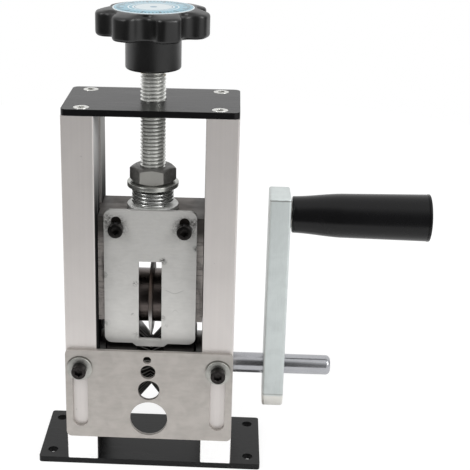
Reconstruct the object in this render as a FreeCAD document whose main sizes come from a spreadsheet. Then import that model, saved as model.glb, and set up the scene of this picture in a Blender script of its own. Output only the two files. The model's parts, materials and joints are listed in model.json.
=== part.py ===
"""Hand crank wire stripper: a bench frame with a grooved feed roller that a crank turns, and a
round blade on a spring-loaded slide block that a star knob raises and lowers.

Millimetres. The origin is the middle of the base plate's underside, +X points to the crank,
+Y to the back and +Z up. Every sub-part is drawn where it stands at rest.
"""
import FreeCAD
import Part
import math
import os
import re
import Sketcher
from FreeCAD import Rotation, Vector

# ---------------------------------------------------------------- driving sizes
SIZES = [
    # frame
    ("frame_width", 80, "outside of one upright to outside of the other"),
    ("frame_depth", 45, "front face to back face of the uprights"),
    ("frame_height", 180, "floor to the upper face of the top plate"),
    ("upright_width", 15, "side to side of one upright"),
    ("upright_edge", 0.8, "rounding of the uprights' long edges"),
    ("top_plate_thickness", 3, "top plate"),
    ("top_plate_corner", 3, "corner radius of the top plate"),
    ("base_length", 109, "base plate, left to right"),
    ("base_depth", 45, "base plate, front to back"),
    ("base_thickness", 3, "base plate"),
    ("base_corner", 1.5, "corner radius of the base plate"),
    ("bolt_inset_long", 6, "ends of the base plate to the bench bolt holes"),
    ("bolt_inset_short", 7, "long edges of the base plate to the bench bolt holes"),
    ("bolt_hole", 5, "bench bolt hole diameter"),
    ("guide_groove_width", 8, "groove in each upright that the slide block runs in"),
    ("guide_groove_depth", 2, "depth of that groove"),
    ("frame_screw_inset_long", 9, "sides of the frame to the frame screws"),
    ("frame_screw_inset_short", 5, "front and back of the frame to the frame screws"),
    ("frame_screw_length", 12, "frame screw, over all"),
    ("countersink", 7.6, "head diameter of a countersunk frame screw"),
    ("small_thread", 4, "thread of the frame, guide, cover and set screws"),
    ("small_socket", 3, "hexagon socket across flats in the small screws"),
    ("tap_spare", 2, "depth that a tapped hole runs past its screw"),
    # feed roller, shaft and bearings
    ("axis_height", 47, "drive shaft axis above the floor"),
    ("shaft_diameter", 10, "drive shaft"),
    ("shaft_stub", 23, "free end of the shaft past the crank arm"),
    ("stub_relief", 0.2, "free end turned down, so that the arm slips on"),
    ("stub_shoulder", 0.4, "crank arm to the turned-down end"),
    ("shaft_tail_stand", 5, "blind end of the shaft past its bearing"),
    ("shaft_chamfer", 1.5, "chamfer of the driven end"),
    ("shaft_hole_gap", 1, "air round the shaft where it leaves an upright"),
    ("bearing_relief", 1, "recess behind a bearing, so its inner ring turns free"),
    ("bearing_shoulder", 3, "width of the shoulder that the outer ring rests on"),
    ("roller_diameter", 39, "feed roller barrel"),
    ("roller_groove", 17, "mouth of the right-angled groove"),
    ("roller_chamfer", 0.8, "end chamfers of the barrel"),
    ("bearing_outer", 30, "ball bearing, outer diameter"),
    ("bearing_width", 9, "ball bearing, width"),
    ("bearing_stand", 3, "how far a bearing stands out of its upright"),
    ("inner_ring_wall", 3.3, "inner ring of a bearing, bore to rim"),
    ("outer_ring_wall", 3.1, "outer ring of a bearing, rim to seat"),
    ("ball_diameter", 4.7, "bearing ball"),
    ("ball_count", 8, "balls in one bearing"),
    ("ball_clearance", 0.1, "air between a ball and its race"),
    ("shield_thickness", 0.4, "bearing shield"),
    ("spacer_wall", 2, "spacer between roller and inner ring, bore to rim"),
    ("spacer_width", 1, "spacer between roller and inner ring"),
    ("roller_screw_thread", 5, "set screws that hold the roller on its shaft"),
    ("roller_screw_length", 6, "set screws that hold the roller on its shaft"),
    # crank and handle
    ("crank_gap", 0.5, "base plate end to the inner face of the crank arm"),
    ("arm_thickness", 10, "crank arm, along the shaft"),
    ("arm_width", 20, "crank arm, across"),
    ("arm_edge", 1, "rounded edges of the crank arm"),
    ("crank_radius", 78.6, "shaft axis to handle axis"),
    ("arm_top_margin", 10.6, "handle axis to the flat end of the arm"),
    ("arm_tail", 12, "shaft axis to the middle of the round end of the arm"),
    ("crank_screw_thread", 6, "set screw that holds the arm on the shaft"),
    ("crank_screw_inset", 0.5, "end of that set screw below the arm's back edge"),
    ("grip_length", 64.2, "handle grip"),
    ("grip_near", 17.4, "grip diameter beside the arm"),
    ("grip_waist", 20.9, "grip diameter where the taper ends"),
    ("grip_far", 22.4, "grip diameter at the far end"),
    ("grip_taper", 25, "length of the tapered neck"),
    ("grip_rounding", 0.8, "rounding of the far end"),
    ("spindle_diameter", 8, "handle spindle"),
    ("spindle_collar", 13, "collar of the spindle beside the arm"),
    ("spindle_collar_width", 0.6, "collar of the spindle beside the arm"),
    ("spindle_head", 13, "head of the spindle inside the grip"),
    ("spindle_head_width", 3, "head of the spindle inside the grip"),
    ("handle_play", 0.3, "end play of the grip on its spindle"),
    # wire guide plate
    ("guide_height", 46.6, "wire guide plate, bottom to top"),
    ("guide_thickness", 2, "wire guide plate"),
    ("guide_corner", 2.5, "corner radius of the wire guide plate"),
    ("guide_bottom", 16.5, "lower edge of the guide plate above the floor"),
    ("guide_screw_inset", 7, "sides of the frame to the guide screws"),
    ("guide_screw_height", 53.5, "guide screws above the floor"),
    ("guide_screw_length", 10, "guide screw under its head"),
    ("guide_slot", 7.2, "width of the slots in the guide plate"),
    ("guide_travel", 29, "how far the guide plate can be lifted"),
    ("stop_gap", 0.3, "air between a guide screw and each end of its slot"),
    ("guide_hole_one", 3.8, "smallest wire hole"),
    ("guide_hole_two", 7.2, "second wire hole"),
    ("guide_hole_three", 10.4, "third wire hole"),
    ("guide_hole_four", 18, "largest wire hole"),
    ("guide_hole_one_shift", -0.8, "smallest hole, to the right of the middle"),
    ("guide_hole_two_shift", -0.4, "second hole, to the right of the middle"),
    ("guide_hole_three_shift", 0, "third hole, to the right of the middle"),
    ("guide_hole_four_shift", 0, "largest hole, to the right of the middle"),
    ("guide_hole_one_drop", 4.3, "plate top to the middle of the smallest hole"),
    ("guide_hole_two_drop", 10.7, "plate top to the middle of the second hole"),
    ("guide_hole_three_drop", 20.4, "plate top to the middle of the third hole"),
    ("guide_hole_four_drop", 35.8, "plate top to the middle of the largest hole"),
    ("plate_play", 0.1, "air on each side of the sliding guide plate"),
    ("guide_washer", 12, "washer under a guide screw"),
    ("guide_washer_thickness", 1, "washer under a guide screw"),
    ("small_head", 7, "head diameter of a small socket head screw"),
    ("small_head_height", 4, "head height of a small socket head screw"),
    # slide block, cover and blade
    ("block_depth", 30, "slide block, front to back"),
    ("block_rise", 45.3, "blade axis to the top of the slide block"),
    ("block_drop", 7.2, "blade axis to the lower end of the slide block"),
    ("block_bar", 12, "bar across the top of the slide block"),
    ("block_mouth", 26, "opening between the arms of the slide block"),
    ("slide_clearance", 0.3, "air between slide block and uprights, each side"),
    ("blade_diameter", 40, "round blade"),
    ("blade_thickness", 1.6, "round blade"),
    ("blade_bevel", 4, "width of the ground bevel"),
    ("blade_edge", 0.1, "thickness left at the cutting edge"),
    ("blade_gap", 4.2, "blade tip to the bottom of the roller groove, at rest"),
    ("hub_diameter", 26, "collars on both sides of the blade"),
    ("hub_sleeve", 13, "sleeve that the blade and the clamp collar sit on"),
    ("hub_play", 0.4, "air between the blade collars and the block's arms"),
    ("hub_chamfer", 0.6, "chamfer of the collars"),
    ("axle_diameter", 8, "blade axle"),
    ("axle_inset", 0.2, "how far the axle ends inside the block's sides"),
    ("cover_inset", 3, "sides of the slide block to the sides of the cover plate"),
    ("cover_height", 67.4, "cover plate, bottom to top"),
    ("cover_rise", 3.9, "cover plate above the slide block"),
    ("cover_thickness", 2, "cover plate"),
    ("cover_corner", 3.5, "corner radius of the cover plate"),
    ("cover_slot_width", 10.8, "blade slot in the cover plate"),
    ("cover_slot_height", 40, "blade slot in the cover plate"),
    ("cover_slot_rise", 2.1, "lower edge of the plate to the blade slot"),
    ("lip_width", 17, "wedge lip under the cover plate, at its root"),
    ("lip_tip_width", 13, "wedge lip under the cover plate, at its tip"),
    ("lip_drop", 1.6, "how far the lip hangs below the cover plate"),
    ("lip_reach", 2.5, "how far the lip is bent back"),
    ("cover_screw_inset", 5.8, "sides of the cover plate to its screws"),
    ("cover_screw_drop", 5.2, "top of the slide block to the cover screws"),
    ("cover_screw_length", 10, "cover screw under its head"),
    ("cover_screw_slot", 4.8, "width of the slots for the cover screws"),
    ("cover_adjustment", 3.5, "length of travel in those slots"),
    ("axle_screw_length", 8, "set screw that holds the blade axle"),
    # adjusting screw
    ("rod_diameter", 12, "threaded rod, outside the thread"),
    ("rod_pitch", 1.75, "thread pitch"),
    ("rod_thread_depth", 1, "thread depth"),
    ("rod_bore_gap", 0.4, "air round the rod in the slide block and washers"),
    ("thread_fit", 0.05, "radial play between the rod and its threads"),
    ("running_fit", 0.05, "radial play of a turning fit"),
    ("nut_flats", 19, "hexagon nuts across flats"),
    ("pressure_nut_height", 7.5, "nut that presses on the spring"),
    ("retaining_nut_height", 6, "nut that lifts the slide block"),
    ("nut_gap", 0.2, "retaining nut to the bar of the slide block"),
    ("rod_end_stand", 1, "rod below its retaining nut"),
    ("thrust_washer", 24.4, "washers above and below the spring"),
    ("thrust_washer_thickness", 2.2, "washers above and below the spring"),
    ("spring_diameter", 20, "pressure spring, outside"),
    ("spring_wire", 1.6, "pressure spring wire"),
    ("spring_length", 8.8, "pressure spring as fitted"),
    ("spring_turns", 4, "coils of the pressure spring"),
    ("spring_seat", 0.05, "air between the spring and each washer"),
    # knob
    ("knob_lift", 14.6, "top plate to the underside of the knob's hub"),
    ("knob_diameter", 52.4, "knob across its lobes"),
    ("knob_lobes", 7, "lobes round the knob"),
    ("knob_valley_radius", 9, "radius of the hollows between the lobes"),
    ("knob_valley_depth", 5.4, "depth of the hollows between the lobes"),
    ("knob_turn_angle", -13, "angle of the hollow nearest the front"),
    ("lobe_rounding", 3.5, "rounding where lobe meets hollow"),
    ("head_thickness", 12, "lobed head of the knob"),
    ("head_rim_drop", 1.8, "flat top of the head to its rim"),
    ("label_margin", 0.7, "flat of the head round its disc"),
    ("head_edge", 1.2, "rounding of the head's lower rim"),
    ("knob_hub", 25.6, "hub of the knob"),
    ("knob_hub_height", 15.4, "hub of the knob"),
    ("insert_wall", 3, "metal insert moulded into the hub"),
    ("insert_length", 20, "metal insert moulded into the hub"),
    ("insert_spare", 2, "end of the rod to the end of the insert"),
    ("label_diameter", 37, "disc on top of the knob"),
    ("label_thickness", 0.3, "disc on top of the knob"),
]

# Places that follow from the driving sizes, as formulas in a second sheet.
PLACES = [
    ("inner_face", "frame_width / 2 - upright_width"),
    ("front_face", "-frame_depth / 2"),
    ("plate_underside", "frame_height - top_plate_thickness"),
    ("upright_height", "plate_underside - base_thickness"),
    ("countersink_depth", "(countersink - small_thread) / 2"),
    ("bolt_x", "base_length / 2 - bolt_inset_long"),
    ("bolt_y", "base_depth / 2 - bolt_inset_short"),
    ("frame_screw_x", "frame_width / 2 - frame_screw_inset_long"),
    ("frame_screw_y", "frame_depth / 2 - frame_screw_inset_short"),
    ("guide_screw_x", "frame_width / 2 - guide_screw_inset"),
    ("bearing_face", "inner_face - bearing_stand"),
    ("bearing_back", "bearing_face + bearing_width"),
    ("bearing_inner_rim", "shaft_diameter + 2 * inner_ring_wall"),
    ("bearing_outer_rim", "bearing_outer - 2 * outer_ring_wall"),
    ("spacer_diameter", "shaft_diameter + 2 * spacer_wall"),
    ("roller_length", "2 * (bearing_face - spacer_width)"),
    ("ball_circle", "(bearing_inner_rim + bearing_outer_rim) / 4"),
    ("groove_bottom", "roller_diameter / 2 - roller_groove / 2"),
    ("arm_inner_face", "base_length / 2 + crank_gap"),
    ("arm_outer_face", "arm_inner_face + arm_thickness"),
    ("shaft_reach", "arm_outer_face + shaft_stub"),
    ("shaft_tail", "bearing_back + shaft_tail_stand"),
    ("crank_screw_length", "arm_width / 2 - shaft_diameter / 2 - crank_screw_inset"),
    ("handle_height", "axis_height + crank_radius"),
    ("arm_round_height", "axis_height - arm_tail"),
    ("arm_top", "handle_height + arm_top_margin"),
    ("grip_start", "arm_outer_face + spindle_collar_width + handle_play"),
    ("spindle_head_start", "grip_start + grip_length - spindle_head_width - 4 * handle_play"),
    ("guide_top", "guide_bottom + guide_height"),
    ("guide_front", "front_face - plate_play - guide_thickness"),
    ("guide_washer_back", "guide_front - plate_play"),
    ("guide_head_back", "guide_washer_back - guide_washer_thickness"),
    ("guide_slot_top", "guide_screw_height + small_thread / 2 + stop_gap"),
    ("guide_slot_bottom", "guide_screw_height - small_thread / 2 - stop_gap - guide_travel"),
    ("blade_height", "axis_height + groove_bottom + blade_gap + blade_diameter / 2"),
    ("block_top", "blade_height + block_rise"),
    ("block_bottom", "blade_height - block_drop"),
    ("bar_underside", "block_top - block_bar"),
    ("block_half", "inner_face - slide_clearance"),
    ("tongue_reach", "inner_face + guide_groove_depth - slide_clearance"),
    ("cover_half", "block_half - cover_inset"),
    ("cover_screw_x", "cover_half - cover_screw_inset"),
    ("cover_top", "block_top + cover_rise"),
    ("cover_bottom", "cover_top - cover_height"),
    ("cover_front", "-block_depth / 2 - cover_thickness"),
    ("cover_slot_bottom", "cover_bottom + cover_slot_rise"),
    ("cover_slot_top", "cover_slot_bottom + cover_slot_height"),
    ("cover_screw_height", "block_top - cover_screw_drop"),
    ("lower_washer_top", "block_top + thrust_washer_thickness"),
    ("upper_washer_bottom", "lower_washer_top + spring_length"),
    ("pressure_nut_bottom", "upper_washer_bottom + thrust_washer_thickness"),
    ("retaining_nut_top", "bar_underside - nut_gap"),
    ("retaining_nut_bottom", "retaining_nut_top - retaining_nut_height"),
    ("rod_bottom", "retaining_nut_bottom - rod_end_stand"),
    ("knob_bottom", "frame_height + knob_lift"),
    ("rod_top", "knob_bottom + insert_length - insert_spare"),
    ("insert_diameter", "rod_diameter + 2 * insert_wall"),
    ("head_flat", "label_diameter + 2 * label_margin"),
    ("head_bottom", "knob_bottom + knob_hub_height"),
    ("head_top", "head_bottom + head_thickness"),
]

LEFT_AND_RIGHT = (("left", -1), ("right", 1))
CORNERS = ((-1, -1), (1, -1), (1, 1), (-1, 1))
TURNS_PER_FACE = 0.5  # short faces, so that the spring's mesh follows them

doc =FreeCAD.newDocument("WireStripper")
sub_parts = []


def fill_sheets():
    """Write the driving sizes and the places that follow from them."""
    sizes = doc.addObject("Spreadsheet::Sheet", "Sizes")
    for row, (alias, number, note) in enumerate(SIZES, start=1):
        sizes.set(f"A{row}", note)
        sizes.set(f"B{row}", str(number))
        sizes.setAlias(f"B{row}", alias)
    doc.recompute()
    places = doc.addObject("Spreadsheet::Sheet", "Places")
    sheet_of = {alias: "Sizes." for alias, _, _ in SIZES}
    for row, (alias, formula) in enumerate(PLACES, start=1):
        places.set(f"B{row}", "=" + with_sheets(formula, sheet_of))
        places.setAlias(f"B{row}", alias)
        sheet_of[alias] = ""
    doc.recompute()
    return sizes, {**sheet_of, **{alias: "Places." for alias, _ in PLACES}}


def with_sheets(rule, sheet_of):
    """Put the name of its sheet before each alias in a rule."""
    return re.sub(r"[a-z][a-z_]*", lambda word: sheet_of.get(word[0], "") + word[0], rule)


sizes_sheet, SHEET_OF = fill_sheets()


def value(rule):
    """The number that a rule gives now."""
    return float(sizes_sheet.evalExpression(with_sheets(rule, SHEET_OF)))


def bind(item, rules):
    """Tie properties of an object to the sheets."""
    for name, rule in rules.items():
        item.setExpression(name, with_sheets(rule, SHEET_OF))
    return item


def place(item, x="0", y="0", z="0"):
    """Tie the position of an object to the sheets."""
    spots = {"Placement.Base.x": x, "Placement.Base.y": y, "Placement.Base.z": z}
    return bind(item, spots)


def keep(item, label):
    """Name a finished sub-part and put it on the export list."""
    item.Label = label
    sub_parts.append(item)
    return item


# ---------------------------------------------------------------- Part primitives
AXES = {
    "X": Rotation(Vector(0, 1, 0), 90),
    "Y": Rotation(Vector(1, 0, 0), -90),
    "Z": Rotation(),
    "-X": Rotation(Vector(0, 1, 0), -90),
    "-Y": Rotation(Vector(1, 0, 0), 90),
    "-Z": Rotation(Vector(1, 0, 0), 180),
}


def solid(kind, name, axis, rules, at):
    """A Part primitive that grows from a point along an axis."""
    item = doc.addObject(kind, name)
    item.Placement = FreeCAD.Placement(Vector(), AXES[axis])
    bind(item, rules)
    return place(item, *at)


def cylinder(name, axis, diameter, length, at):
    """A cylinder by its diameter."""
    rules = {"Radius": f"({diameter}) / 2", "Height": length}
    return solid("Part::Cylinder", name, axis, rules, at)


def cone(name, axis, start, end, length, at):
    """A cone by its two diameters."""
    rules = {"Radius1": f"({start}) / 2", "Radius2": f"({end}) / 2", "Height": length}
    return solid("Part::Cone", name, axis, rules, at)


def hexagon(name, axis, flats, length, at):
    """A hexagonal prism by its width across flats."""
    item = doc.addObject("Part::Prism", name)
    item.Polygon = 6
    item.Placement = FreeCAD.Placement(Vector(), AXES[axis])
    bind(item, {"Circumradius": f"({flats}) / sqrt(3)", "Height": length})
    return place(item, *at)


def fuse(name, items):
    """One object made of several."""
    item = doc.addObject("Part::MultiFuse", name)
    item.Shapes = items
    return item


def group(name, items):
    """Several loose solids in one object."""
    item = doc.addObject("Part::Compound", name)
    item.Links = items
    return item


def cut(name, base, tool):
    """Take one object out of another."""
    item = doc.addObject("Part::Cut", name)
    item.Base = base
    item.Tool = tool
    return item


def ring(name, axis, outer, inner, length, at):
    """A tube by its two diameters."""
    body = cylinder(name + "_outside", axis, outer, length, at)
    bore = cylinder(name + "_bore", axis, inner, length, at)
    return cut(name, body, bore)


# ---------------------------------------------------------------- PartDesign helpers
def new_body(label, x="0", y="0", z="0"):
    """A PartDesign body that becomes a sub-part."""
    return keep(place(doc.addObject("PartDesign::Body", label), x, y, z), label)


def new_sketch(body, name, plane, offset="0"):
    """A sketch on one of the body's own origin planes, moved along the plane's normal."""
    sketch = body.newObject("Sketcher::SketchObject", name)
    origin_plane = [item for item in body.Origin.OriginFeatures if item.Role == plane][0]
    sketch.AttachmentSupport = [(origin_plane, "")]
    sketch.MapMode = "FlatFace"
    bind(sketch, {"AttachmentOffset.Base.z": offset})
    return sketch


def fix_point(sketch, geometry, point, x, y):
    """Tie a point of a sketch to the sheets, measured from the sketch's origin."""
    for kind, rule in (("DistanceX", x), ("DistanceY", y)):
        constraint = Sketcher.Constraint(kind, -1, 1, geometry, point, value(rule))
        index = sketch.addConstraint(constraint)
        bind(sketch, {f"Constraints[{index}]": rule})


def draw_polygon(sketch, points):
    """A closed outline of straight lines through points given as rules."""
    spots = [Vector(value(x), value(y), 0) for x, y in points]
    lines = []
    for start, end in zip(spots, spots[1:] + spots[:1]):
        lines.append(sketch.addGeometry(Part.LineSegment(start, end), False))
    for line, following in zip(lines, lines[1:] + lines[:1]):
        sketch.addConstraint(Sketcher.Constraint("Coincident", line, 2, following, 1))
    for line, (x, y) in zip(lines, points):
        fix_point(sketch, line, 1, x, y)


def draw_rectangle(sketch, left, right, bottom, top):
    """An upright rectangle."""
    draw_polygon(sketch, [(left, bottom), (right, bottom), (right, top), (left, top)])


def draw_circle(sketch, diameter, x="0", y="0"):
    """A circle by its diameter."""
    circle = Part.Circle(Vector(value(x), value(y), 0), Vector(0, 0, 1), value(diameter) / 2)
    index = sketch.addGeometry(circle, False)
    fix_point(sketch, index, 3, x, y)
    constraint = Sketcher.Constraint("Radius", index, value(diameter) / 2)
    bind(sketch, {f"Constraints[{sketch.addConstraint(constraint)}]": f"({diameter}) / 2"})


def draw_slot(sketch, width, x, bottom, top):
    """An upright slot with round ends, from its lowest to its highest point."""
    radius = value(width) / 2
    low = Vector(value(x), value(bottom) + radius, 0)
    high = Vector(value(x), value(top) - radius, 0)
    side = Vector(radius, 0, 0)
    up = Vector(0, 0, 1)
    lower = sketch.addGeometry(Part.ArcOfCircle(Part.Circle(low, up, radius), math.pi, 2 * math.pi))
    right = sketch.addGeometry(Part.LineSegment(low + side, high + side))
    upper = sketch.addGeometry(Part.ArcOfCircle(Part.Circle(high, up, radius), 0, math.pi))
    left = sketch.addGeometry(Part.LineSegment(high - side, low - side))
    for first, second in ((lower, right), (right, upper), (upper, left), (left, lower)):
        sketch.addConstraint(Sketcher.Constraint("Tangent", first, 2, second, 1))
    fix_point(sketch, lower, 3, x, f"{bottom} + ({width}) / 2")
    fix_point(sketch, upper, 3, x, f"{top} - ({width}) / 2")
    constraint = Sketcher.Constraint("Radius", lower, radius)
    bind(sketch, {f"Constraints[{sketch.addConstraint(constraint)}]": f"({width}) / 2"})


def pad(body, sketch, length, both_ways=False):
    """Extrude a sketch along its normal, or half of the length to each side."""
    feature = body.newObject("PartDesign::Pad", sketch.Name + "_pad")
    feature.Profile = sketch
    feature.Midplane = both_ways
    bind(feature, {"Length": length})
    doc.recompute()
    return feature


def pocket(body, sketch, depth=None, reverse=False):
    """Cut a sketch against its normal, or right through both ways where no depth is given."""
    before = body.Shape.Volume
    feature = body.newObject("PartDesign::Pocket", sketch.Name + "_pocket")
    feature.Profile = sketch
    feature.Reversed = reverse
    if depth is None:
        feature.Type = "ThroughAll"
        feature.Midplane = True
    else:
        bind(feature, {"Length": depth})
    doc.recompute()
    if body.Shape.Volume >= before:
        raise RuntimeError(f"{feature.Name} cuts nothing")
    return feature


def revolve(body, sketch, axis):
    """Turn a half section about an axis of its sketch."""
    feature = body.newObject("PartDesign::Revolution", sketch.Name + "_turned")
    feature.Profile = sketch
    feature.ReferenceAxis = (sketch, [axis])
    feature.Angle = 360
    doc.recompute()
    return feature


def edges_where(feature, test):
    """Names of the edges of a feature whose edge passes a test."""
    return [f"Edge{n}" for n, edge in enumerate(feature.Shape.Edges, start=1) if test(edge)]


def round_edges(body, feature, test, radius):
    """Fillet the chosen edges of a feature."""
    fillet = body.newObject("PartDesign::Fillet", feature.Name + "_rounded")
    fillet.Base = (feature, edges_where(feature, test))
    bind(fillet, {"Radius": radius})
    doc.recompute()
    return fillet


def runs_along(direction):
    """A test for straight edges parallel to a direction."""
    def test(edge):
        if edge.Curve.TypeId != "Part::GeomLine":
            return False
        return abs(edge.tangentAt(edge.FirstParameter).dot(direction)) > 0.999
    return test


# ---------------------------------------------------------------- fasteners
def countersunk_screw(name, axis, at):
    """A countersunk screw whose flat face is at the point and whose shank runs along the axis."""
    head = cone(name + "_head", axis, "countersink", "small_thread", "countersink_depth", at)
    shank = cylinder(name + "_shank", axis, "small_thread", "frame_screw_length", at)
    socket = hexagon(name + "_socket", axis, "small_socket", "countersink_depth", at)
    return cut(name, fuse(name + "_solid", [head, shank]), socket)


def socket_screw(name, length, at):
    """A socket head screw along +Y, its head in front of the point and its shank behind it."""
    x, y, z = at
    head_at = (x, f"{y} - small_head_height", z)
    head = cylinder(name + "_head", "Y", "small_head", "small_head_height", head_at)
    shank = cylinder(name + "_shank", "Y", "small_thread", length, at)
    socket = hexagon(name + "_socket", "Y", "small_socket", "small_head_height / 2", head_at)
    return cut(name, fuse(name + "_solid", [head, shank]), socket)


def set_screw(name, axis, thread, length, at):
    """A headless screw that grows from its tip along the axis, with a socket in the far end."""
    body = cylinder(name + "_body", axis, thread, length, at)
    socket = hexagon(name + "_socket", axis, f"({thread}) / 2", length, at)
    tip = cylinder(name + "_tip", axis, f"({thread}) * 0.7", f"({length}) / 2", at)
    return cut(name, body, cut(name + "_drive", socket, tip))


def frame_screw_spots():
    """The four frame screws as X and Y rules."""
    return [(f"{x} * frame_screw_x", f"{y} * frame_screw_y") for x, y in CORNERS]


def hex_nut(label, height, bottom):
    """A hexagon nut on the rod, with both ends chamfered to a circle."""
    at = ("0", "0", bottom)
    corners = "nut_flats * 2 / sqrt(3)"
    blank = hexagon(label + "_blank", "Z", "nut_flats", height, at)
    chamfer = f"({corners} - nut_flats) / 2"
    waist_at = ("0", "0", f"{bottom} + {chamfer} / 2")
    top_at = ("0", "0", f"{bottom} + {height} - {chamfer} / 2")
    body = [
        cone(label + "_lower", "Z", "nut_flats", corners, f"{chamfer} / 2", at),
        cylinder(label + "_waist", "Z", corners, f"{height} - {chamfer}", waist_at),
        cone(label + "_upper", "Z", corners, "nut_flats", f"{chamfer} / 2", top_at),
    ]
    turned = doc.addObject("Part::MultiCommon", label + "_turned")
    turned.Shapes = [blank, fuse(label + "_rounds", body)]
    bore = cylinder(label + "_bore", "Z", "rod_diameter + 2 * thread_fit", height, at)
    return keep(cut(label + "_nut", turned, bore), label)


# ---------------------------------------------------------------- frame
def flat_plate(label, length, depth, thickness, bottom, corner):
    """A flat plate that lies on its bottom height, with round corners."""
    body = new_body(label, z=bottom)
    sketch = new_sketch(body, label + "_outline", "XY_Plane")
    draw_rectangle(sketch, f"-{length} / 2", f"{length} / 2", f"-{depth} / 2", f"{depth} / 2")
    plate = pad(body, sketch, thickness)
    round_edges(body, plate, runs_along(Vector(0, 0, 1)), corner)
    return body


def countersink_holes(body, label, wide_height, axis):
    """Screw holes through a plate, wide at one face."""
    through = new_sketch(body, label + "_screw_holes", "XY_Plane")
    for x, y in frame_screw_spots():
        draw_circle(through, "small_thread + 2 * thread_fit", x, y)
    pocket(body, through)
    wide = new_sketch(body, label + "_countersinks", "XY_Plane", wide_height)
    for x, y in frame_screw_spots():
        draw_circle(wide, "countersink + 2 * thread_fit", x, y)
    sink = pocket(body, wide, "countersink_depth", reverse=axis > 0)
    sink.TaperAngle = -45
    doc.recompute()


def base_plate():
    """Base plate with four bench bolt holes and four screw holes sunk from below."""
    body = flat_plate("base_plate", "base_length", "base_depth", "base_thickness", "0",
                      "base_corner")
    bolts = new_sketch(body, "bench_bolt_holes", "XY_Plane")
    for x, y in CORNERS:
        draw_circle(bolts, "bolt_hole", f"{x} * bolt_x", f"{y} * bolt_y")
    pocket(body, bolts)
    countersink_holes(body, "base_plate", "0", 1)


def top_plate():
    """Top plate with the threaded hole for the rod and screw holes sunk from above."""
    body = flat_plate("top_plate", "frame_width", "frame_depth", "top_plate_thickness",
                      "plate_underside", "top_plate_corner")
    hole = new_sketch(body, "rod_thread_hole", "XY_Plane")
    draw_circle(hole, "rod_diameter + 2 * thread_fit")
    pocket(body, hole)
    countersink_holes(body, "top_plate", "top_plate_thickness", -1)


def frame_screws(label, axis, height):
    """Four countersunk screws in one node."""
    screws = []
    for number, (x, y) in enumerate(frame_screw_spots(), start=1):
        screws.append(countersunk_screw(f"{label}_{number}", axis, (x, y, height)))
    keep(group(label + "_group", screws), label)


def upright(side, sign):
    """Aluminium upright with the groove for the slide block and the bearing seat."""
    label = f"{side}_upright"
    body = new_body(label, z="base_thickness")
    section = new_sketch(body, label + "_section", "XY_Plane")
    near, far = f"{sign} * inner_face", f"{sign} * frame_width / 2"
    draw_rectangle(section, *sorted((near, far), key=value), "front_face", "frame_depth / 2")
    bar = pad(body, section, "upright_height")
    round_edges(body, bar, runs_along(Vector(0, 0, 1)), "upright_edge")
    groove = new_sketch(body, label + "_groove", "XY_Plane")
    bottom = f"{sign} * (inner_face + guide_groove_depth)"
    mouth = f"{sign} * (inner_face - guide_groove_depth)"
    draw_rectangle(groove, *sorted((bottom, mouth), key=value), "-guide_groove_width / 2",
                   "guide_groove_width / 2")
    pocket(body, groove, "upright_height", reverse=True)
    seat = new_sketch(body, label + "_bearing_seat", "YZ_Plane", f"{sign} * inner_face")
    draw_circle(seat, "bearing_outer", y="axis_height - base_thickness")
    pocket(body, seat, "bearing_width - bearing_stand", reverse=sign > 0)
    relief = new_sketch(body, label + "_bearing_relief", "YZ_Plane", f"{sign} * inner_face")
    draw_circle(relief, "bearing_outer - 2 * bearing_shoulder", y="axis_height - base_thickness")
    pocket(body, relief, "bearing_width - bearing_stand + bearing_relief", reverse=sign > 0)
    passage = new_sketch(body, label + "_shaft_hole", "YZ_Plane", f"{sign} * inner_face")
    draw_circle(passage, "shaft_diameter + 2 * shaft_hole_gap", y="axis_height - base_thickness")
    pocket(body, passage, "upright_width", reverse=sign > 0)
    tapped = "small_thread + 2 * thread_fit"
    for end, height, upward in (("lower", "0", True), ("upper", "upright_height", False)):
        holes = new_sketch(body, f"{label}_{end}_taps", "XY_Plane", height)
        for y in (-1, 1):
            draw_circle(holes, tapped, f"{sign} * frame_screw_x", f"{y} * frame_screw_y")
        pocket(body, holes, "frame_screw_length + tap_spare - base_thickness", reverse=upward)
    front = new_sketch(body, label + "_guide_tap", "XZ_Plane", "frame_depth / 2")
    draw_circle(front, tapped, f"{sign} * guide_screw_x", "guide_screw_height - base_thickness")
    pocket(body, front, "guide_screw_length - guide_thickness - guide_washer_thickness")


# ---------------------------------------------------------------- bearings
def mirrored_pair(name, build):
    """The same piece for the left and the right bearing, in one node."""
    pieces = [build(f"{name}_{side}", sign) for side, sign in LEFT_AND_RIGHT]
    keep(group(name + "_group", pieces), name)


def race_groove(name, sign):
    """The round track that the balls run in."""
    track = doc.addObject("Part::Torus", name + "_track")
    track.Placement = FreeCAD.Placement(Vector(), AXES["X"])
    bind(track, {"Radius1": "ball_circle", "Radius2": "ball_diameter / 2 + ball_clearance"})
    middle = f"{sign} * (bearing_face + bearing_width / 2)"
    return place(track, middle, "0", "axis_height")


def bearing_start(sign, inset="0", width="bearing_width"):
    """Lowest X of a ring of some width that lies inset from a bearing's roller side."""
    if sign > 0:
        return f"bearing_face + ({inset})"
    return f"-bearing_face - ({inset}) - {width}"


def outer_ring(name, sign):
    """Outer ring of a bearing."""
    at = (bearing_start(sign), "0", "axis_height")
    tube = ring(name + "_blank", "X", "bearing_outer", "bearing_outer_rim", "bearing_width", at)
    return cut(name, tube, race_groove(name, sign))


def inner_ring(name, sign):
    """Inner ring of a bearing."""
    at = (bearing_start(sign), "0", "axis_height")
    tube = ring(name + "_blank", "X", "bearing_inner_rim", "shaft_diameter", "bearing_width", at)
    return cut(name, tube, race_groove(name, sign))


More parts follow.
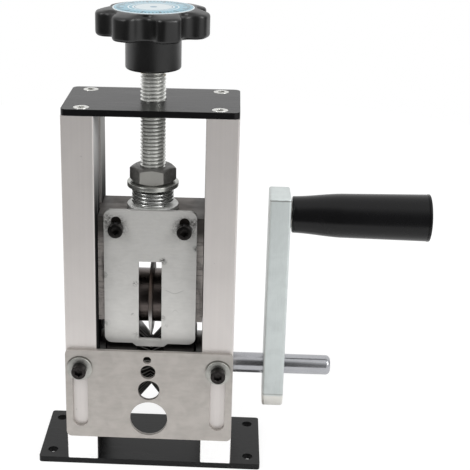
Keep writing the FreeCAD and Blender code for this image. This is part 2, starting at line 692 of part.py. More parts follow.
def bearing_shields():
    """Thin rings that close both sides of each bearing."""
    shields = []
    for side, sign in LEFT_AND_RIGHT:
        for place_name, inset in (("near", "0"), ("far", "bearing_width - shield_thickness")):
            at = (bearing_start(sign, inset, "shield_thickness"), "0", "axis_height")
            shields.append(ring(f"shield_{side}_{place_name}", "X", "bearing_outer_rim",
                                "bearing_inner_rim + 4 * ball_clearance", "shield_thickness", at))
    keep(group("bearing_shields_group", shields), "bearing_shields")


def bearing_balls():
    """Balls of both bearings on their pitch circle."""
    balls = []
    count = int(value("ball_count"))
    for side, sign in LEFT_AND_RIGHT:
        for number in range(count):
            angle = f"{number} * 360 / ball_count"
            ball = doc.addObject("Part::Sphere", f"ball_{side}_{number + 1}")
            bind(ball, {"Radius": "ball_diameter / 2"})
            place(ball, f"{sign} * (bearing_face + bearing_width / 2)",
                  f"ball_circle * cos({angle})", f"axis_height + ball_circle * sin({angle})")
            balls.append(ball)
    keep(group("bearing_balls_group", balls), "bearing_balls")


# ---------------------------------------------------------------- shaft and roller
def drive_shaft():
    """Drive shaft, chamfered at the driven end."""
    body = new_body("drive_shaft", z="axis_height")
    half = new_sketch(body, "shaft_half", "XZ_Plane")
    radius, stub = "shaft_diameter / 2", "(shaft_diameter / 2 - stub_relief)"
    draw_polygon(half, [
        ("-shaft_tail", "0"),
        ("shaft_reach", "0"),
        ("shaft_reach", f"{stub} - shaft_chamfer"),
        ("shaft_reach - shaft_chamfer", stub),
        ("arm_outer_face + stub_shoulder", stub),
        ("arm_outer_face + stub_shoulder - stub_relief", radius),
        ("-shaft_tail", radius),
    ])
    revolve(body, half, "H_Axis")


def feed_roller():
    """Feed roller with a right-angled groove and two tapped holes for its set screws."""
    body = new_body("feed_roller", z="axis_height")
    half = new_sketch(body, "roller_half", "XZ_Plane")
    end, radius, bore = "roller_length / 2", "roller_diameter / 2", "shaft_diameter / 2"
    draw_polygon(half, [
        (f"-{end}", bore),
        (end, bore),
        (end, f"{radius} - roller_chamfer"),
        (f"{end} - roller_chamfer", radius),
        ("roller_groove / 2", radius),
        ("0", "groove_bottom"),
        ("-roller_groove / 2", radius),
        (f"-{end} + roller_chamfer", radius),
        (f"-{end}", f"{radius} - roller_chamfer"),
    ])
    revolve(body, half, "H_Axis")
    holes = new_sketch(body, "roller_taps", "XY_Plane")
    for _, sign in LEFT_AND_RIGHT:
        draw_circle(holes, "roller_screw_thread + 2 * thread_fit", roller_screw_x(sign))
    pocket(body, holes, radius)


def roller_screw_x(sign):
    """Middle of the plain land on one side of the roller groove."""
    return f"{sign} * (roller_length + roller_groove) / 4"


def roller_set_screws():
    """Two set screws under the roller's lands."""
    screws = []
    for side, sign in LEFT_AND_RIGHT:
        at = (roller_screw_x(sign), "0", "axis_height - shaft_diameter / 2")
        screws.append(set_screw(f"roller_screw_{side}", "-Z", "roller_screw_thread",
                                "roller_screw_length", at))
    keep(group("roller_set_screws_group", screws), "roller_set_screws")


def shaft_spacers():
    """Spacers between the roller and the inner rings."""
    spacers = []
    for side, sign in LEFT_AND_RIGHT:
        start = "roller_length / 2" if sign > 0 else "-bearing_face"
        spacers.append(ring(f"spacer_{side}", "X", "spacer_diameter", "shaft_diameter", "spacer_width",
                            (start, "0", "axis_height")))
    keep(group("shaft_spacers_group", spacers), "shaft_spacers")


# ---------------------------------------------------------------- crank and handle
def crank_arm():
    """Crank arm: a flat bar with one round end, bored for the shaft and the spindle."""
    body = new_body("crank_arm", x="arm_inner_face")
    bar = new_sketch(body, "arm_bar", "YZ_Plane")
    draw_rectangle(bar, "-arm_width / 2", "arm_width / 2", "arm_round_height", "arm_top")
    pad(body, bar, "arm_thickness")
    end = new_sketch(body, "arm_round_end", "YZ_Plane")
    draw_circle(end, "arm_width", y="arm_round_height")
    blank = pad(body, end, "arm_thickness")
    blank.Refine = True
    doc.recompute()
    round_edges(body, blank, lambda edge: True, "arm_edge")
    holes = new_sketch(body, "arm_holes", "YZ_Plane")
    draw_circle(holes, "shaft_diameter", y="axis_height")
    draw_circle(holes, "spindle_diameter", y="handle_height")
    pocket(body, holes, "arm_thickness", reverse=True)
    tap = new_sketch(body, "arm_tap", "XZ_Plane", "-arm_width / 2")
    draw_circle(tap, "crank_screw_thread + 2 * thread_fit", "arm_thickness / 2", "axis_height")
    pocket(body, tap, "arm_width / 2", reverse=True)


def crank_set_screw():
    """Set screw in the back edge of the arm."""
    at = ("arm_inner_face + arm_thickness / 2", "shaft_diameter / 2", "axis_height")
    keep(set_screw("crank_screw", "Y", "crank_screw_thread", "crank_screw_length", at),
         "crank_set_screw")


def handle_spindle():
    """Spindle screwed into the arm, with a collar at the arm and a head inside the grip."""
    length = "spindle_head_start + spindle_head_width - arm_inner_face"
    axis_at = ("arm_inner_face", "0", "handle_height")
    head_at = ("spindle_head_start", "0", "handle_height")
    stem = cylinder("spindle_stem", "X", "spindle_diameter", length, axis_at)
    collar = cylinder("spindle_collar", "X", "spindle_collar", "spindle_collar_width",
                      ("arm_outer_face", "0", "handle_height"))
    head = cylinder("spindle_head", "X", "spindle_head", "spindle_head_width", head_at)
    socket = hexagon("spindle_socket", "X", "spindle_diameter * 0.75", "spindle_head_width",
                     head_at)
    keep(cut("spindle", fuse("spindle_solid", [stem, collar, head]), socket), "handle_spindle")


def handle_grip():
    """Turned grip that spins on the spindle, with a pocket for the spindle's head."""
    body = new_body("handle_grip", x="grip_start", z="handle_height")
    half = new_sketch(body, "grip_half", "XZ_Plane")
    bore = "spindle_diameter / 2 + running_fit"
    pocket_radius = "spindle_head / 2 + 2 * handle_play"
    pocket_start = "spindle_head_start - grip_start - handle_play"
    draw_polygon(half, [
        ("0", bore),
        (pocket_start, bore),
        (pocket_start, pocket_radius),
        ("grip_length", pocket_radius),
        ("grip_length", "grip_far / 2"),
        ("grip_taper", "grip_waist / 2"),
        ("0", "grip_near / 2"),
    ])
    grip = revolve(body, half, "H_Axis")
    far_radius = value("grip_far / 2")
    rim = value("grip_start + grip_length")

    def is_outer_rim(edge):
        if edge.Curve.TypeId != "Part::GeomCircle":
            return False
        centre = edge.Curve.Center.x
        at_end = min(abs(centre - rim), abs(centre - value("grip_length"))) < 1e-3
        return at_end and abs(edge.Curve.Radius - far_radius) < 1e-3

    round_edges(body, grip, is_outer_rim, "grip_rounding")


# ---------------------------------------------------------------- wire guide
def wire_guide_plate():
    """Guide plate with two slots and four wire holes, drawn in front of the uprights."""
    body = new_body("wire_guide_plate", y="front_face - plate_play")
    outline = new_sketch(body, "guide_outline", "XZ_Plane")
    draw_rectangle(outline, "-frame_width / 2", "frame_width / 2", "guide_bottom", "guide_top")
    plate = pad(body, outline, "guide_thickness")
    round_edges(body, plate, runs_along(Vector(0, 1, 0)), "guide_corner")
    holes = new_sketch(body, "guide_holes", "XZ_Plane")
    for sign in (-1, 1):
        draw_slot(holes, "guide_slot", f"{sign} * guide_screw_x", "guide_slot_bottom",
                  "guide_slot_top")
    for number in ("one", "two", "three", "four"):
        draw_circle(holes, f"guide_hole_{number}", f"guide_hole_{number}_shift",
                    f"guide_top - guide_hole_{number}_drop")
    pocket(body, holes)


def guide_fasteners():
    """Screws and washers that hold the guide plate against the uprights."""
    screws = []
    washers = []
    for side, sign in LEFT_AND_RIGHT:
        x = f"{sign} * guide_screw_x"
        screws.append(socket_screw(f"guide_screw_{side}", "guide_screw_length",
                                   (x, "guide_head_back", "guide_screw_height")))
        washers.append(ring(f"guide_washer_{side}", "Y", "guide_washer",
                            "small_thread + 2 * thread_fit", "guide_washer_thickness",
                            (x, "guide_head_back", "guide_screw_height")))
    keep(group("guide_plate_screws_group", screws), "guide_plate_screws")
    keep(group("guide_plate_washers_group", washers), "guide_plate_washers")


# ---------------------------------------------------------------- slide block and blade
def slide_block():
    """Fork-shaped block that slides between the uprights on two tongues."""
    body = new_body("slide_block")
    front = new_sketch(body, "block_front", "XZ_Plane")
    mouth = "block_mouth / 2"
    draw_polygon(front, [
        ("-block_half", "block_bottom"),
        (f"-{mouth}", "block_bottom"),
        (f"-{mouth}", "bar_underside"),
        (mouth, "bar_underside"),
        (mouth, "block_bottom"),
        ("block_half", "block_bottom"),
        ("block_half", "block_top"),
        ("-block_half", "block_top"),
    ])
    pad(body, front, "block_depth", both_ways=True)
    tongues = new_sketch(body, "block_tongues", "XZ_Plane")
    for sign in (-1, 1):
        near, far = f"{sign} * block_half", f"{sign} * tongue_reach"
        draw_rectangle(tongues, *sorted((near, far), key=value), "block_bottom", "block_top")
    pad(body, tongues, "guide_groove_width - 2 * slide_clearance", both_ways=True)
    rod_hole = new_sketch(body, "block_rod_hole", "XY_Plane", "block_top")
    draw_circle(rod_hole, "rod_diameter + 2 * rod_bore_gap")
    pocket(body, rod_hole, "block_bar")
    axle_hole = new_sketch(body, "block_axle_hole", "YZ_Plane")
    draw_circle(axle_hole, "axle_diameter", y="blade_height")
    pocket(body, axle_hole)
    taps = new_sketch(body, "block_cover_taps", "XZ_Plane", "block_depth / 2")
    for sign in (-1, 1):
        draw_circle(taps, "small_thread + 2 * thread_fit", f"{sign} * cover_screw_x",
                    "cover_screw_height")
    pocket(body, taps, "cover_screw_length")
    screw_hole = new_sketch(body, "block_axle_tap", "XZ_Plane", "-block_depth / 2")
    draw_circle(screw_hole, "small_thread + 2 * thread_fit", axle_screw_x(), "blade_height")
    pocket(body, screw_hole, "block_depth / 2", reverse=True)


def axle_screw_x():
    """Middle of the right arm of the slide block."""
    return "(block_mouth / 2 + block_half) / 2"


def blade_axle():
    """Plain axle through both arms of the slide block."""
    start = "-block_half + axle_inset"
    keep(cylinder("axle", "X", "axle_diameter", "2 * (block_half - axle_inset)",
                  (start, "0", "blade_height")), "blade_axle")


def axle_set_screw():
    """Set screw in the back of the right arm that holds the axle."""
    keep(set_screw("axle_screw", "Y", "small_thread", "axle_screw_length",
                   (axle_screw_x(), "axle_diameter / 2", "blade_height")), "axle_set_screw")


def turned_about_axle(label, points):
    """A turned piece on the blade axle from its half section."""
    body = new_body(label, z="blade_height")
    half = new_sketch(body, label + "_half", "XZ_Plane")
    draw_polygon(half, points)
    revolve(body, half, "H_Axis")


def round_blade():
    """Round blade, ground to an edge from both sides."""
    side, bore, rim = "blade_thickness / 2", "hub_sleeve / 2", "blade_diameter / 2"
    turned_about_axle("round_blade", [
        (f"-{side}", bore),
        (side, bore),
        (side, f"{rim} - blade_bevel"),
        ("blade_edge / 2", rim),
        ("-blade_edge / 2", rim),
        (f"-{side}", f"{rim} - blade_bevel"),
    ])


def blade_hub():
    """Hub that turns on the axle: the left collar and the sleeve through the blade."""
    end, side = "block_mouth / 2 - hub_play", "blade_thickness / 2"
    radius, sleeve = "hub_diameter / 2", "hub_sleeve / 2"
    bore = "axle_diameter / 2 + running_fit"
    turned_about_axle("blade_hub", [
        (f"-({end})", bore),
        (end, bore),
        (end, sleeve),
        (f"-{side}", sleeve),
        (f"-{side}", radius),
        (f"-({end}) + hub_chamfer", radius),
        (f"-({end})", f"{radius} - hub_chamfer"),
    ])


def blade_clamp_collar():
    """Right collar, pressed on the sleeve of the hub."""
    end, side = "block_mouth / 2 - hub_play", "blade_thickness / 2"
    radius, sleeve = "hub_diameter / 2", "hub_sleeve / 2"
    turned_about_axle("blade_clamp_collar", [
        (side, sleeve),
        (end, sleeve),
        (end, f"{radius} - hub_chamfer"),
        (f"{end} - hub_chamfer", radius),
        (side, radius),
    ])


def cover_plate():
    """Cover plate on the front of the slide block, with its blade slot and wedge lip."""
    body = new_body("cover_plate", y="-block_depth / 2")
    outline = new_sketch(body, "cover_outline", "XZ_Plane")
    draw_rectangle(outline, "-cover_half", "cover_half", "cover_bottom", "cover_top")
    plate = pad(body, outline, "cover_thickness")
    round_edges(body, plate, runs_along(Vector(0, 1, 0)), "cover_corner")
    root = new_sketch(body, "lip_root", "XZ_Plane")
    lip_half, tip_half = "lip_width / 2", "lip_tip_width / 2"
    draw_polygon(root, [
        (f"-{lip_half}", "cover_bottom"),
        (f"-{tip_half}", "cover_bottom - lip_drop"),
        (tip_half, "cover_bottom - lip_drop"),
        (lip_half, "cover_bottom"),
    ])
    pad(body, root, "cover_thickness")
    wedge = new_sketch(body, "lip_section", "YZ_Plane")
    draw_polygon(wedge, [
        ("-cover_thickness", "cover_bottom"),
        ("-cover_thickness", "cover_bottom - lip_drop"),
        ("lip_reach - cover_thickness", "cover_bottom - lip_drop"),
        ("0", "cover_bottom"),
    ])
    pad(body, wedge, "lip_tip_width", both_ways=True)
    openings = new_sketch(body, "cover_openings", "XZ_Plane")
    draw_rectangle(openings, "-cover_slot_width / 2", "cover_slot_width / 2",
                   "cover_slot_bottom", "cover_slot_top")
    for sign in (-1, 1):
        low = "cover_screw_height - cover_screw_slot / 2"
        high = "cover_screw_height + cover_adjustment + cover_screw_slot / 2"
        draw_slot(openings, "cover_screw_slot", f"{sign} * cover_screw_x", low, high)
    pocket(body, openings)


def cover_plate_screws():
    """Two socket head screws that hold the cover plate."""
    screws = []
    for side, sign in LEFT_AND_RIGHT:
        at = (f"{sign} * cover_screw_x", "cover_front", "cover_screw_height")
        screws.append(socket_screw(f"cover_screw_{side}", "cover_screw_length", at))
    keep(group("cover_plate_screws_group", screws), "cover_plate_screws")


# ---------------------------------------------------------------- adjusting screw
def adjusting_rod():
    """Threaded rod, its thread drawn as a row of rings at the true pitch.

    A shape made in code, because a sketch would need a few hundred tied points.
    """
    rod = doc.addObject("Part::Feature", "adjusting_rod")
    length = value("rod_top - rod_bottom")
    crest = value("rod_diameter / 2")
    root = crest - value("rod_thread_depth")
    pitch = value("rod_pitch")
    points = [Vector(0, 0, 0), Vector(root, 0, 0)]
    for turn in range(int(length / pitch)):
        middle = (turn + 0.5) * pitch
        points.append(Vector(crest, 0, middle - pitch / 16))
        points.append(Vector(crest, 0, middle + pitch / 16))
        points.append(Vector(root, 0, (turn + 1) * pitch))
    points += [Vector(root, 0, length), Vector(0, 0, length), Vector(0, 0, 0)]
    points = [spot for n, spot in enumerate(points) if n == 0 or spot != points[n - 1]]
    face = Part.Face(Part.makePolygon(points))
    rod.Shape = face.revolve(Vector(0, 0, 0), Vector(0, 0, 1), 360)
    rod.Placement = FreeCAD.Placement(Vector(0, 0, value("rod_bottom")), Rotation())
    keep(rod, "adjusting_rod")


def thrust_washer(label, bottom):
    """A washer on the rod, above or below the spring."""
    inner = "rod_diameter + 2 * rod_bore_gap"
    keep(ring(label + "_disc", "Z", "thrust_washer", inner, "thrust_washer_thickness",
              ("0", "0", bottom)), label)


def pressure_spring():
    """Coil spring between the two washers."""
    path = doc.addObject("Part::Helix", "spring_path")
    rise = "spring_length - spring_wire - 2 * spring_seat"
    bind(path, {
        "Pitch": f"({rise}) / spring_turns",
        "Height": rise,
        "Radius": "(spring_diameter - spring_wire) / 2",
    })
    path.SegmentLength = TURNS_PER_FACE
    wire = doc.addObject("Part::Circle", "spring_wire_section")
    wire.Placement = FreeCAD.Placement(Vector(), Rotation(Vector(1, 0, 0), 90))
    bind(wire, {"Radius": "spring_wire / 2"})
    place(wire, "(spring_diameter - spring_wire) / 2")
    doc.recompute()
    coil = doc.addObject("Part::Sweep", "spring_coil")
    coil.Sections = [wire]
    coil.Spine = (path, [f"Edge{n + 1}" for n in range(len(path.Shape.Edges))])
    coil.Solid = True
    coil.Frenet = True
    place(coil, z="lower_washer_top + spring_wire / 2 + spring_seat")
    keep(coil, "pressure_spring")


# ---------------------------------------------------------------- knob
def knob_body():
    """Star knob: a hub under a lobed head with a flat, slightly raised middle."""
    body = new_body("knob_body", z="knob_bottom")
    half = new_sketch(body, "knob_half", "XZ_Plane")
    insert, hub, rim = "insert_diameter / 2", "knob_hub / 2", "knob_diameter / 2"
    top = "knob_hub_height + head_thickness"
    draw_polygon(half, [
        (insert, "0"),
        (hub, "0"),
        (hub, "knob_hub_height"),
        (f"{rim} - head_edge", "knob_hub_height"),
        (rim, "knob_hub_height + head_edge"),
        (rim, f"{top} - head_rim_drop"),
        ("head_flat / 2", top),
        ("0", top),
        ("0", "insert_length"),
        (insert, "insert_length"),
    ])
    revolve(body, half, "V_Axis")
    valley = new_sketch(body, "knob_valley", "XY_Plane", "knob_hub_height")
    distance = "(knob_diameter / 2 - knob_valley_depth + knob_valley_radius)"
    angle = "(knob_turn_angle - 90)"
    draw_circle(valley, "2 * knob_valley_radius", f"{distance} * cos({angle})",
                f"{distance} * sin({angle})")
    hollow = pocket(body, valley, "head_thickness", reverse=True)
    pattern = body.newObject("PartDesign::PolarPattern", "knob_valleys")
    pattern.Originals = [hollow]
    pattern.Axis = (valley, ["N_Axis"])
    pattern.Angle = 360
    bind(pattern, {"Occurrences": "knob_lobes"})
    body.Tip = pattern
    doc.recompute()
    round_edges(body, pattern, runs_along(Vector(0, 0, 1)), "lobe_rounding")


def knob_insert():
    """Threaded metal insert in the knob's hub."""
    keep(ring("insert", "Z", "insert_diameter", "rod_diameter + 2 * thread_fit",
              "insert_length", ("0", "0", "knob_bottom")), "knob_insert")


def knob_label():
    """Plain disc on top of the knob."""
    keep(cylinder("label", "Z", "label_diameter", "label_thickness", ("0", "0", "head_top")),
         "knob_label")


# ---------------------------------------------------------------- the whole part
def build():
    """Make every sub-part."""
    base_plate()
    frame_screws("base_screws", "Z", "0")
    for side, sign in LEFT_AND_RIGHT:
        upright(side, sign)
    top_plate()
    frame_screws("top_plate_screws", "-Z", "frame_height")
    mirrored_pair("bearing_outer_rings", outer_ring)
    mirrored_pair("bearing_inner_rings", inner_ring)
    bearing_shields()
    bearing_balls()
    drive_shaft()
    feed_roller()
    roller_set_screws()
    shaft_spacers()
    crank_arm()
    crank_set_screw()
    handle_spindle()
    handle_grip()
    wire_guide_plate()
    guide_fasteners()
    slide_block()
    blade_axle()
    axle_set_screw()
    round_blade()
    blade_hub()
    blade_clamp_collar()
    cover_plate()
    cover_plate_screws()
    adjusting_rod()
    hex_nut("pressure_nut", "pressure_nut_height", "pressure_nut_bottom")
    hex_nut("rod_retaining_nut", "retaining_nut_height", "retaining_nut_bottom")
    thrust_washer("lower_washer", "block_top")
    thrust_washer("upper_washer", "upper_washer_bottom")
    pressure_spring()
    knob_body()
    knob_insert()
    knob_label()
    doc.recompute()


def check():
    """Stop if any object failed or any sub-part has no sound shape."""
    for item in doc.Objects:
        if "Invalid" in item.State or "Error" in item.State:
            raise RuntimeError(f"{item.Label} is {item.State}")
    for item in sub_parts:
        if item.Shape.isNull() or not item.Shape.isValid() or not item.Shape.Solids:
            raise RuntimeError(f"{item.Label} has no sound solid")


def export():
    """Write one STEP file for each sub-part."""
    os.makedirs("parts", exist_ok=True)
    for item in sub_parts:
        item.Shape.exportStep(f"parts/{item.Label}.step")
        print(f"{item.Label}: {len(item.Shape.Solids)} solid, {item.Shape.Volume:.0f} mm3")


build()
check()
export()
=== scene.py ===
"""Looks of a hand crank wire stripper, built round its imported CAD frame.

Metres throughout, in the frame of the CAD: +X points to the crank, +Y to the back, +Z up.
"""
import json
import math
from collections import namedtuple

import bmesh
import bpy
from bpy.props import FloatProperty, FloatVectorProperty, IntProperty, PointerProperty
from mathutils import Matrix, Vector


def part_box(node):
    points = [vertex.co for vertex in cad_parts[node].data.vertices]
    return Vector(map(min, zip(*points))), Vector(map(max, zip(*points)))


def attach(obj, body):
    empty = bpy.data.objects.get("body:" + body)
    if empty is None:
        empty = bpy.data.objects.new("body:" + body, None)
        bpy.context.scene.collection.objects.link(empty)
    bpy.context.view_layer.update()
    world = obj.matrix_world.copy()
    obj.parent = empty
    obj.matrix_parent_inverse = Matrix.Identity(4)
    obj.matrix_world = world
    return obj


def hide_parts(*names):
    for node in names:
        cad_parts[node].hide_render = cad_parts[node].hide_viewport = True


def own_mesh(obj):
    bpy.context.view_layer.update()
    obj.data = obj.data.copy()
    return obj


bl_info = {
    "name": "Hand crank wire stripper",
    "version": (1, 0, 0),
    "blender": (4, 5, 0),
    "location": "3D View > Sidebar > Wire stripper",
    "description": "Looks of a bench wire stripper, built round its CAD frame",
    "category": "Object",
}

MM = 0.001
WHITE = (1, 1, 1)
BLACK = (0, 0, 0)
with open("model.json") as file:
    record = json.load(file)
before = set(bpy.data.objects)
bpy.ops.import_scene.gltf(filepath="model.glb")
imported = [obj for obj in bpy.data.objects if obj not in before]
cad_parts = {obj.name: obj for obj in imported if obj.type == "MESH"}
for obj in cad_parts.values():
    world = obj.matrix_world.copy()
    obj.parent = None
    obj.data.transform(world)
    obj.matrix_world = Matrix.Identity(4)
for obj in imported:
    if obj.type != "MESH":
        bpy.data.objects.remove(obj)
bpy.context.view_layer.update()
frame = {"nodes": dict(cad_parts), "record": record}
SMOOTH_ANGLE = math.radians(32)
TURNED_TO_X = Matrix.Rotation(math.radians(90), 4, "Y")
Box = namedtuple("Box", "low high middle size")


def box(node):
    """Corners, middle and size of a CAD node."""
    low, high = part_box(node)
    return Box(low, high, (low + high) / 2, high - low)


def paint(red, green, blue):
    """Linear colour of an sRGB colour given in 0 to 255."""
    def linear(level):
        level /= 255
        return level / 12.92 if level <= 0.04045 else ((level + 0.055) / 1.055) ** 2.4
    return (linear(red), linear(green), linear(blue))


def shaded(colour, share):
    """A colour made darker or lighter."""
    return tuple(min(1.0, level * share) for level in colour)


def colour_setting(name, description, *levels):
    """A colour that the user can change."""
    return FloatVectorProperty(name=name, description=description, subtype="COLOR",
                               size=3, min=0, max=1, default=paint(*levels))


def length_setting(name, description, millimetres):
    """A length that the user can change."""
    return FloatProperty(name=name, description=description, default=millimetres * MM,
                         min=0, unit="LENGTH", precision=5)


class StripperColours(bpy.types.PropertyGroup):
    """Colours of the finishes."""
    black_paint: colour_setting("Black paint", "Base and top plate", 16, 16, 17)
    aluminium: colour_setting("Aluminium", "Upright bars", 214, 209, 206)
    guide_steel: colour_setting("Guide steel", "Wire guide plate", 181, 176, 171)
    cover_steel: colour_setting("Cover steel", "Cover plate of the slide block", 199, 198, 195)
    zinc: colour_setting("Zinc", "Crank arm", 215, 222, 221)
    block_steel: colour_setting("Block steel", "Slide block where it is still dark", 88, 83, 79)
    worn_steel: colour_setting("Worn steel", "Slide block where it is rubbed bright", 196, 189, 184)
    plastic: colour_setting("Knob plastic", "Star knob", 18, 18, 18)
    grip: colour_setting("Grip plastic", "Handle grip", 17, 17, 18)
    dial_blue: colour_setting("Dial blue", "Disc on the knob", 122, 178, 198)


class StripperSizes(bpy.types.PropertyGroup):
    """Sizes of the details that the looks add to the CAD shapes."""
    easing: length_setting("Eased edges", "Bevel on the sharp edges of plates", 0.3)
    thread_pitch: length_setting("Thread pitch", "Pitch of the adjusting rod", 1.75)
    thread_depth: length_setting("Thread depth", "Crest to root of the adjusting rod", 1.0)
    spring_wire: length_setting("Spring wire", "Wire of the pressure spring", 1.6)
    spring_turns: FloatProperty(name="Spring turns", description="Coils of the pressure spring",
                                default=4.0, min=2.0, max=5.0)
    blade_bevel: length_setting("Blade bevel", "Width of the ground bevel", 3.0)
    tooth_depth: length_setting("Tooth depth", "Depth of the teeth in the roller's groove", 0.55)
    roller_teeth: IntProperty(name="Roller teeth", description="Teeth round the roller's groove",
                              default=46, min=12, max=90)
    knob_lobes: IntProperty(name="Knob lobes", description="Lobes round the knob",
                            default=7, min=3, max=12)
    knob_turn: FloatProperty(name="Knob turn", description="Direction of the first hollow",
                             default=math.radians(-95), subtype="ANGLE")
    hollow_depth: length_setting("Hollow depth", "Depth of the hollows round the knob", 5.4)
    hollow_radius: length_setting("Hollow radius", "Radius of those hollows", 5.5)
    lobe_rounding: length_setting("Lobe rounding", "Rounding where lobe meets hollow", 4.5)


class StripperStudio(bpy.types.PropertyGroup):
    """Floor, light and camera."""
    room: FloatProperty(name="Room light", description="Strength of the light all round",
                        default=0.56, min=0)
    mirrored: FloatProperty(name="Mirrored room", description="Strength of the room in polish",
                            default=1.0, min=0)
    dusk: FloatProperty(name="Shade in front", description="How dark the room is behind the camera",
                        default=0.97, min=0, max=1)
    key: FloatProperty(name="Side lamps", description="Power of each side lamp", default=21,
                       min=0, unit="POWER")
    table: length_setting("Table radius", "Radius of the pale round table", 500)
    table_front: length_setting("Table front", "How far the table reaches out in front", 260)
    focal: FloatProperty(name="Focal length", description="Lens of the camera in millimetres",
                         default=84.27, min=10)


# ---------------------------------------------------------------- node trees
class Nodes:
    """A node tree under construction."""

    def __init__(self, tree):
        self.tree = tree

    def feed(self, socket, value):
        """Links an output to a socket, or sets the socket."""
        if isinstance(value, bpy.types.NodeSocket):
            self.tree.links.new(value, socket)
        else:
            socket.default_value = value

    def add(self, kind, inputs=None, **settings):
        """A node with its settings and inputs, where an input may be another node's output."""
        node = self.tree.nodes.new(kind)
        for key, value in settings.items():
            setattr(node, key, value)
        for socket, value in (inputs or {}).items():
            self.feed(node.inputs[socket], value)
        return node

    def maths(self, operation, first, *others):
        """One operation on a single value, or on the first value and each of the others in turn."""
        for other in others or (0.0,):
            first = self.add("ShaderNodeMath", {0: first, 1: other}, operation=operation).outputs[0]
        return first

    def times(self, *values):
        """The product of the values."""
        return self.maths("MULTIPLY", *values)

    def off(self, value, level=0.0):
        """How far a value is from a level, either way."""
        return self.maths("ABSOLUTE", self.maths("SUBTRACT", value, level))

    def window(self, value, low, high, start=0.0, end=1.0, soft=True):
        """The value spread from low..high to start..end, and held at both ends."""
        return self.add("ShaderNodeMapRange", {
            "Value": value, "From Min": low, "From Max": high, "To Min": start, "To Max": end},
            interpolation_type="SMOOTHSTEP" if soft else "LINEAR").outputs[0]


class Finish(Nodes):
    """A procedural material, its shader and the tone that goes into it."""

    def __init__(self, name, colour, roughness, metallic=0.0):
        self.material = bpy.data.materials.new(name)
        self.material.use_nodes = True
        super().__init__(self.material.node_tree)
        self.shader = self.tree.nodes["Principled BSDF"]
        self.set(Base_Color=(*colour, 1), Roughness=roughness, Metallic=metallic)
        self.tone = colour
        self.spot = self.add("ShaderNodeTexCoord").outputs["Object"]
        self.x, self.y, self.z = self.add("ShaderNodeSeparateXYZ", {0: self.spot}).outputs

    def set(self, **sockets):
        """Feeds the shader, with _ for a space, and gives the material."""
        for label, value in sockets.items():
            self.feed(self.shader.inputs[label.replace("_", " ")], value)
        return self.material

    def done(self, **sockets):
        """Feeds the tone and other sockets of the shader, and gives the material."""
        return self.set(Base_Color=self.tone, **sockets)

    def blend(self, share, first, second):
        """A colour between two colours."""
        mix = self.add("ShaderNodeMix", {"Factor": share}, data_type="RGBA")
        for socket, value in ((mix.inputs[6], first), (mix.inputs[7], second)):
            self.feed(socket, (*value, 1) if isinstance(value, tuple) else value)
        return mix.outputs[2]

    def tint(self, share, colour):
        """Blends a colour into the tone."""
        self.tone = self.blend(share, self.tone, colour)

    def noise(self, scale, detail=3.0, stretch=(1, 1, 1), warp=0.0):
        """Noise in object space, drawn out by a stretch along X, Y and Z."""
        spot = self.add("ShaderNodeMapping", {"Vector": self.spot, "Scale": stretch})
        return self.add("ShaderNodeTexNoise", {
            "Vector": spot.outputs[0], "Scale": scale, "Detail": detail,
            "Roughness": 0.55, "Distortion": warp}).outputs["Fac"]

    def away(self, plane, centre=(0, 0, 0)):
        """Distance from a centre, measured in the plane of the axes that are 1."""
        flat = self.add("ShaderNodeVectorMath", {0: self.spot, 1: plane}, operation="MULTIPLY")
        return self.add("ShaderNodeVectorMath", {0: flat.outputs[0], 1: centre},
                        operation="DISTANCE").outputs["Value"]

    def near(self, x, z, reach):
        """1 at a spot on an upright plate and 0 beyond its reach."""
        return self.window(self.away((1, 0, 1), (x, 0, z)), reach, reach * 0.25)

    def relief(self, height, distance):
        """Fine relief on the surface."""
        self.set(Normal=self.add("ShaderNodeBump", {"Height": height, "Distance": distance,
                                                    "Strength": 1.0}).outputs[0])


# ---------------------------------------------------------------- finishes
def metal(name, colour, roughness, grain=(1, 1, 1), streaks=0.08, mottle=0.08, relief=0.01,
          patch=22, metallic=1.0, fineness=900):
    """A metal with grain along one way, soft mottling and an uneven polish."""
    finish = Finish(name, colour, roughness, metallic)
    lines = finish.noise(fineness, 4, grain)
    clouds = finish.noise(1 / (patch * MM), 4, warp=0.6)
    both = finish.maths("ADD", finish.window(lines, 0.25, 0.75, 0, streaks),
                        finish.window(clouds, 0.3, 0.7, 0, mottle))
    finish.tone = finish.blend(both, shaded(colour, 1 + (streaks + mottle) / 2), BLACK)
    finish.set(Roughness=finish.window(finish.maths("ADD", lines, clouds), 0.6, 1.4,
                                       roughness * 0.82, roughness * 1.2))
    if relief:
        finish.relief(lines, relief * MM)
    return finish


def black_plate_finish(colours):
    """Satin black paint with a fine even grain and a little dust."""
    finish = Finish("satin_black_paint", colours.black_paint[:], 0.3)
    brushed = finish.noise(1500, 3, (0.03, 1, 1))
    finish.tint(finish.window(finish.noise(500, 4, warp=1.0), 0.6, 0.8, 0, 0.06),
                paint(120, 118, 118))
    finish.relief(brushed, 0.003 * MM)
    return finish.done(Roughness=finish.window(brushed, 0.3, 0.7, 0.27, 0.33), IOR=1.31)


